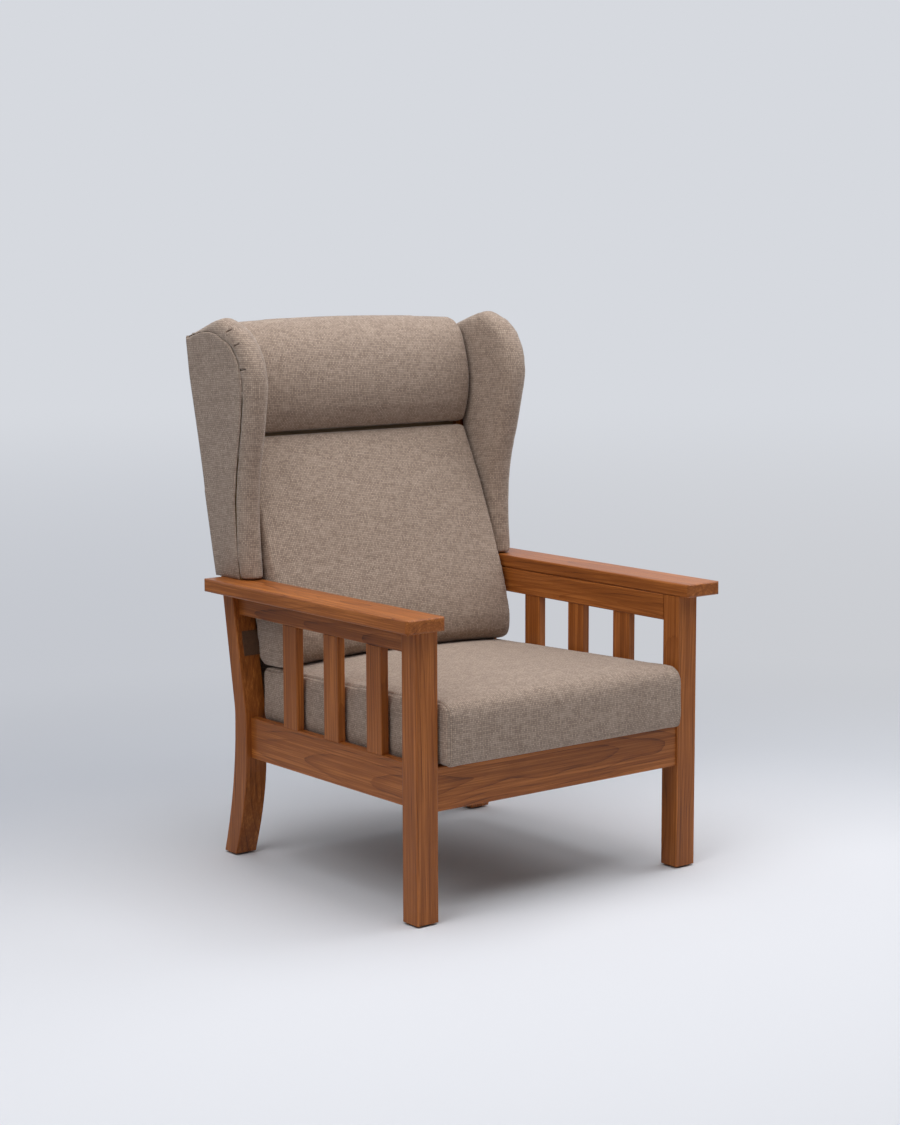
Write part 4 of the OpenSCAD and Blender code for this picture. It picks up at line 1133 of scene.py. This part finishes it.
def zip_fastener(tape_finish, metal):
    """The zip in the back of the seat cushion: its tape, teeth and slider."""
    low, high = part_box("seat_cushion_zip")
    x, y, z = (low.x + high.x) / 2, low.y, (low.z + high.z) / 2
    tape = blocks("seat_zip_tape", [((x, y + 0.0002, z + side * 0.0017), (high.x - low.x, 0.0006, 0.0026))
                                    for side, _ in SIDES], 0.0002)
    lay_threads(tape.data, other_axes=(0, 2))
    shade_seams(tape.data)
    finish_piece(tape, "seat_cushion", "cloth", tape_finish)

    spot = bpy.data.meshes.new("seat_zip_teeth")
    spot.from_pydata([(0, 0, 0)], [], [])
    teeth = grow("seat_zip_teeth", spot, TEETH, Teeth=int((high.x - low.x) / TOOTH_STEP), Step=TOOTH_STEP,
                 Tooth=TOOTH, Offset=TOOTH_OFFSET, First=(low.x + 0.001, y + 0.0007, z), Finish=metal)
    finish_piece(teeth, "seat_cushion", "zip", metal, "seat_cushion_zip")

    x = high.x - 0.012
    slider = blocks("seat_zip_slider", [((x, y + 0.0012, z), (0.008, 0.0016, 0.0044)),
                                        ((x - 0.009, y + 0.0022, z), (0.016, 0.0007, 0.003))], 0.0003)
    finish_piece(slider, "seat_cushion", "zip", metal)


# ---- the chair

SEAT_SEAM_X = 0.2925
TOPSTITCH_IN = 0.0052
STITCH_STEP = 0.0046
STITCH = (0.0016, 0.00042, 0.00042)
BACK_SEAM_IN = 0.004
BACK_PUCKER = 0.0002
BACK_VALLEY = 0.0006
CUSHION_VOXEL = 0.007
ROLL_VOXEL = 0.006
FOAM_VOXEL = 0.012
CUSHION_FILL = 0.95

# How far the seat cushion gives: most beside the straps and behind the front rail, less before the
# rail, and least on it. Then how high up the cushion that reaches, and how far its sides spread.
DROOP = 0.013
DROOP_FRONT = 0.0035
DROOP_ON_RAIL = 0.0018
DROOP_HEIGHT = 0.05
SPREAD = 0.0026
# Where each of these starts, past the edge that it is told from, and the length it takes to be full
BESIDE_STRAPS = 0.012, 0.06
BEHIND_RAIL = 0.003, 0.014
BEFORE_RAIL = 0.006, 0.014
ON_RAIL_FRONT = -0.012, 0.008
ON_RAIL_BACK = -0.016, 0.012


def ramp(value, start, length):
    """Rises from 0 to 1 over a length, from a start."""
    return np.clip((value - start) / length, 0, 1)


def let_droop(mesh):
    """Lets the lower edges of the seat cushion hang a little past the straps that carry it."""
    points = points_of(mesh)
    x, y, z = np.abs(points[:, 0]), points[:, 1], points[:, 2]
    front, back = (corner.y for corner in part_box("front_rail"))
    on_rail = ramp(y - front, *ON_RAIL_FRONT) * ramp(back - y, *ON_RAIL_BACK)
    beside = ramp(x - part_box("seat_webbing")[1].x, *BESIDE_STRAPS)
    behind = ramp(y - back, *BEHIND_RAIL)
    before = ramp(front - y, *BEFORE_RAIL)
    give = np.maximum(DROOP * beside * behind, np.maximum(DROOP_FRONT * before, DROOP_ON_RAIL * on_rail * beside))
    fade = 1 - ramp(z, z.min(), DROOP_HEIGHT)
    points[:, 0] += np.sign(points[:, 0]) * SPREAD * beside * behind * fade
    points[:, 2] -= give * fade ** 2
    move_points(mesh, points)


def cushions(cloth, thread, foam):
    """The seat, back and head cushions, with their seams, and their foam inside."""
    seat = fill_out("seat_cushion", "seat_cushion_cover", CUSHION_VOXEL)
    let_droop(seat.data)
    sew_ends(seat, SEAT_SEAM_X)
    form = opened(seat.data)
    rings = [even(loop_at(form, side * (SEAT_SEAM_X - TOPSTITCH_IN)), PATH_STEP)[0] for side, _ in SIDES]
    form.free()
    finish_piece(seat, "seat_cushion", "cloth", cloth, "seat_cushion_cover", fill=CUSHION_FILL)
    stitches = grow("seat_topstitch", rings_mesh(rings), ROW, Step=STITCH_STEP, Size=STITCH, Finish=thread)
    finish_piece(stitches, "seat_cushion", "cloth", thread)
    for node, name, voxel in (("back_cushion_cover", "back_cushion", CUSHION_VOXEL),
                              ("head_roll_cover", "head_roll", ROLL_VOXEL)):
        piece = fill_out(name, node, voxel)
        sew_ends(piece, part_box(node)[1].x - BACK_SEAM_IN, BACK_PUCKER, BACK_VALLEY, line=0.0)
        finish_piece(piece, "frame", "cloth", cloth, node, fill=CUSHION_FILL)
    for name, node, body in (("seat_foam", "seat_cushion_foam", "seat_cushion"),
                             ("back_foam", "back_cushion_foam", "frame"), ("roll_foam", "head_roll_foam", "frame")):
        foam_core(name, node, body, foam)


def finish_frame():
    """Stains the show wood piece by piece, and gives the rest of the frame its own finishes."""
    steel = plain("zinced steel", STEEL, 0.16, 400.0, 0.34, 1.0)
    nylon = plain("moulded glide", GLIDE, 0.25, 260.0, 0.5)
    finishes = {
        "front_rail": timber("front rail", "x", (0.03, -0.325, 0.262)),
        "back_seat_rail": timber("back seat rail", "x", (0.03, 0.21, 0.25), shift=2.0),
        "corner_blocks": timber("corner blocks", "x", (0.02, 0.1, 0.2), BEECH, coat=0.0)}
    for side, label in SIDES:
        x = side * 0.33
        for node, name, axis, heart, shift in (
                ("front_leg_", "leg ", "z", (0.03, x + 0.09 * side, -0.30 - 0.05 * side), 0.4),
                ("back_post_", "post ", "z", (0.05, x + 0.07, 0.19), 0.7),
                ("side_rail_", "side rail ", "y", (0.035, 0.245, side * 0.27), 1.0),
                ("arm_rail_", "arm rail ", "y", (0.04, 0.52, side * 0.29), 1.3),
                ("arm_top_", "arm ", "y", (0.03, 0.53, side * 0.34), 1.9)):
            finishes[node + label] = timber(name + label, axis, heart, shift=shift * side)
        for i in (1, 2, 3):
            heart = (0.03, side * 0.30, -0.2 + 0.14 * i + 0.03 * (i % 2))
            finishes[f"arm_slat_{label}_{i}"] = timber(f"slat {label} {i}", "z", heart, shift=side * i * 0.37)
        finishes["wing_board_" + label] = timber("wing board " + label, "y", (0.0, 0.5, 0.0), PLY, 0.0016, coat=0.0)
        finishes["glide_front_" + label] = finishes["glide_back_" + label] = nylon
    for node in ("back_lower_rail", "back_middle_rail", "back_top_rail"):
        finishes[node] = timber(node.replace("_", " "), "x", (0.03, 0.22, 0.2), BEECH, coat=0.0)
    for node in ("arm_screws", "corner_block_screws", "wing_screws"):
        finishes[node] = steel
    for node, material in finishes.items():
        finish(NODES[node].data, material)


set_up_camera()
set_up_room()
finish_frame()
upholstery = linen("taupe linen")
thread = plain("sewing thread", THREAD, 0.2, 900.0, 0.7)
cushions(upholstery, thread, plain("cut foam", FOAM, 0.1, 500.0, 0.9, relief=0.0004))
wing_pads(upholstery)
for side, label in SIDES:
    wing_panel(side, label, upholstery)
back_panels(upholstery)
straps = linen("brown webbing", WEBBING_DARK, WEBBING_LIGHT, 0.0024, 0.0008)
webbing("seat_straps", "seat_webbing", 1, (0, 0, -0.003), straps)
webbing("back_straps", "back_webbing", 0, (0, 0.004, 0), straps)
zip_fastener(linen("zip tape", ZIP_TAPE, tuple(c * 1.2 for c in ZIP_TAPE), 0.0008, 0.0002),
             plain("brass zip", ZIP_METAL, 0.2, 700.0, 0.38, 1.0))
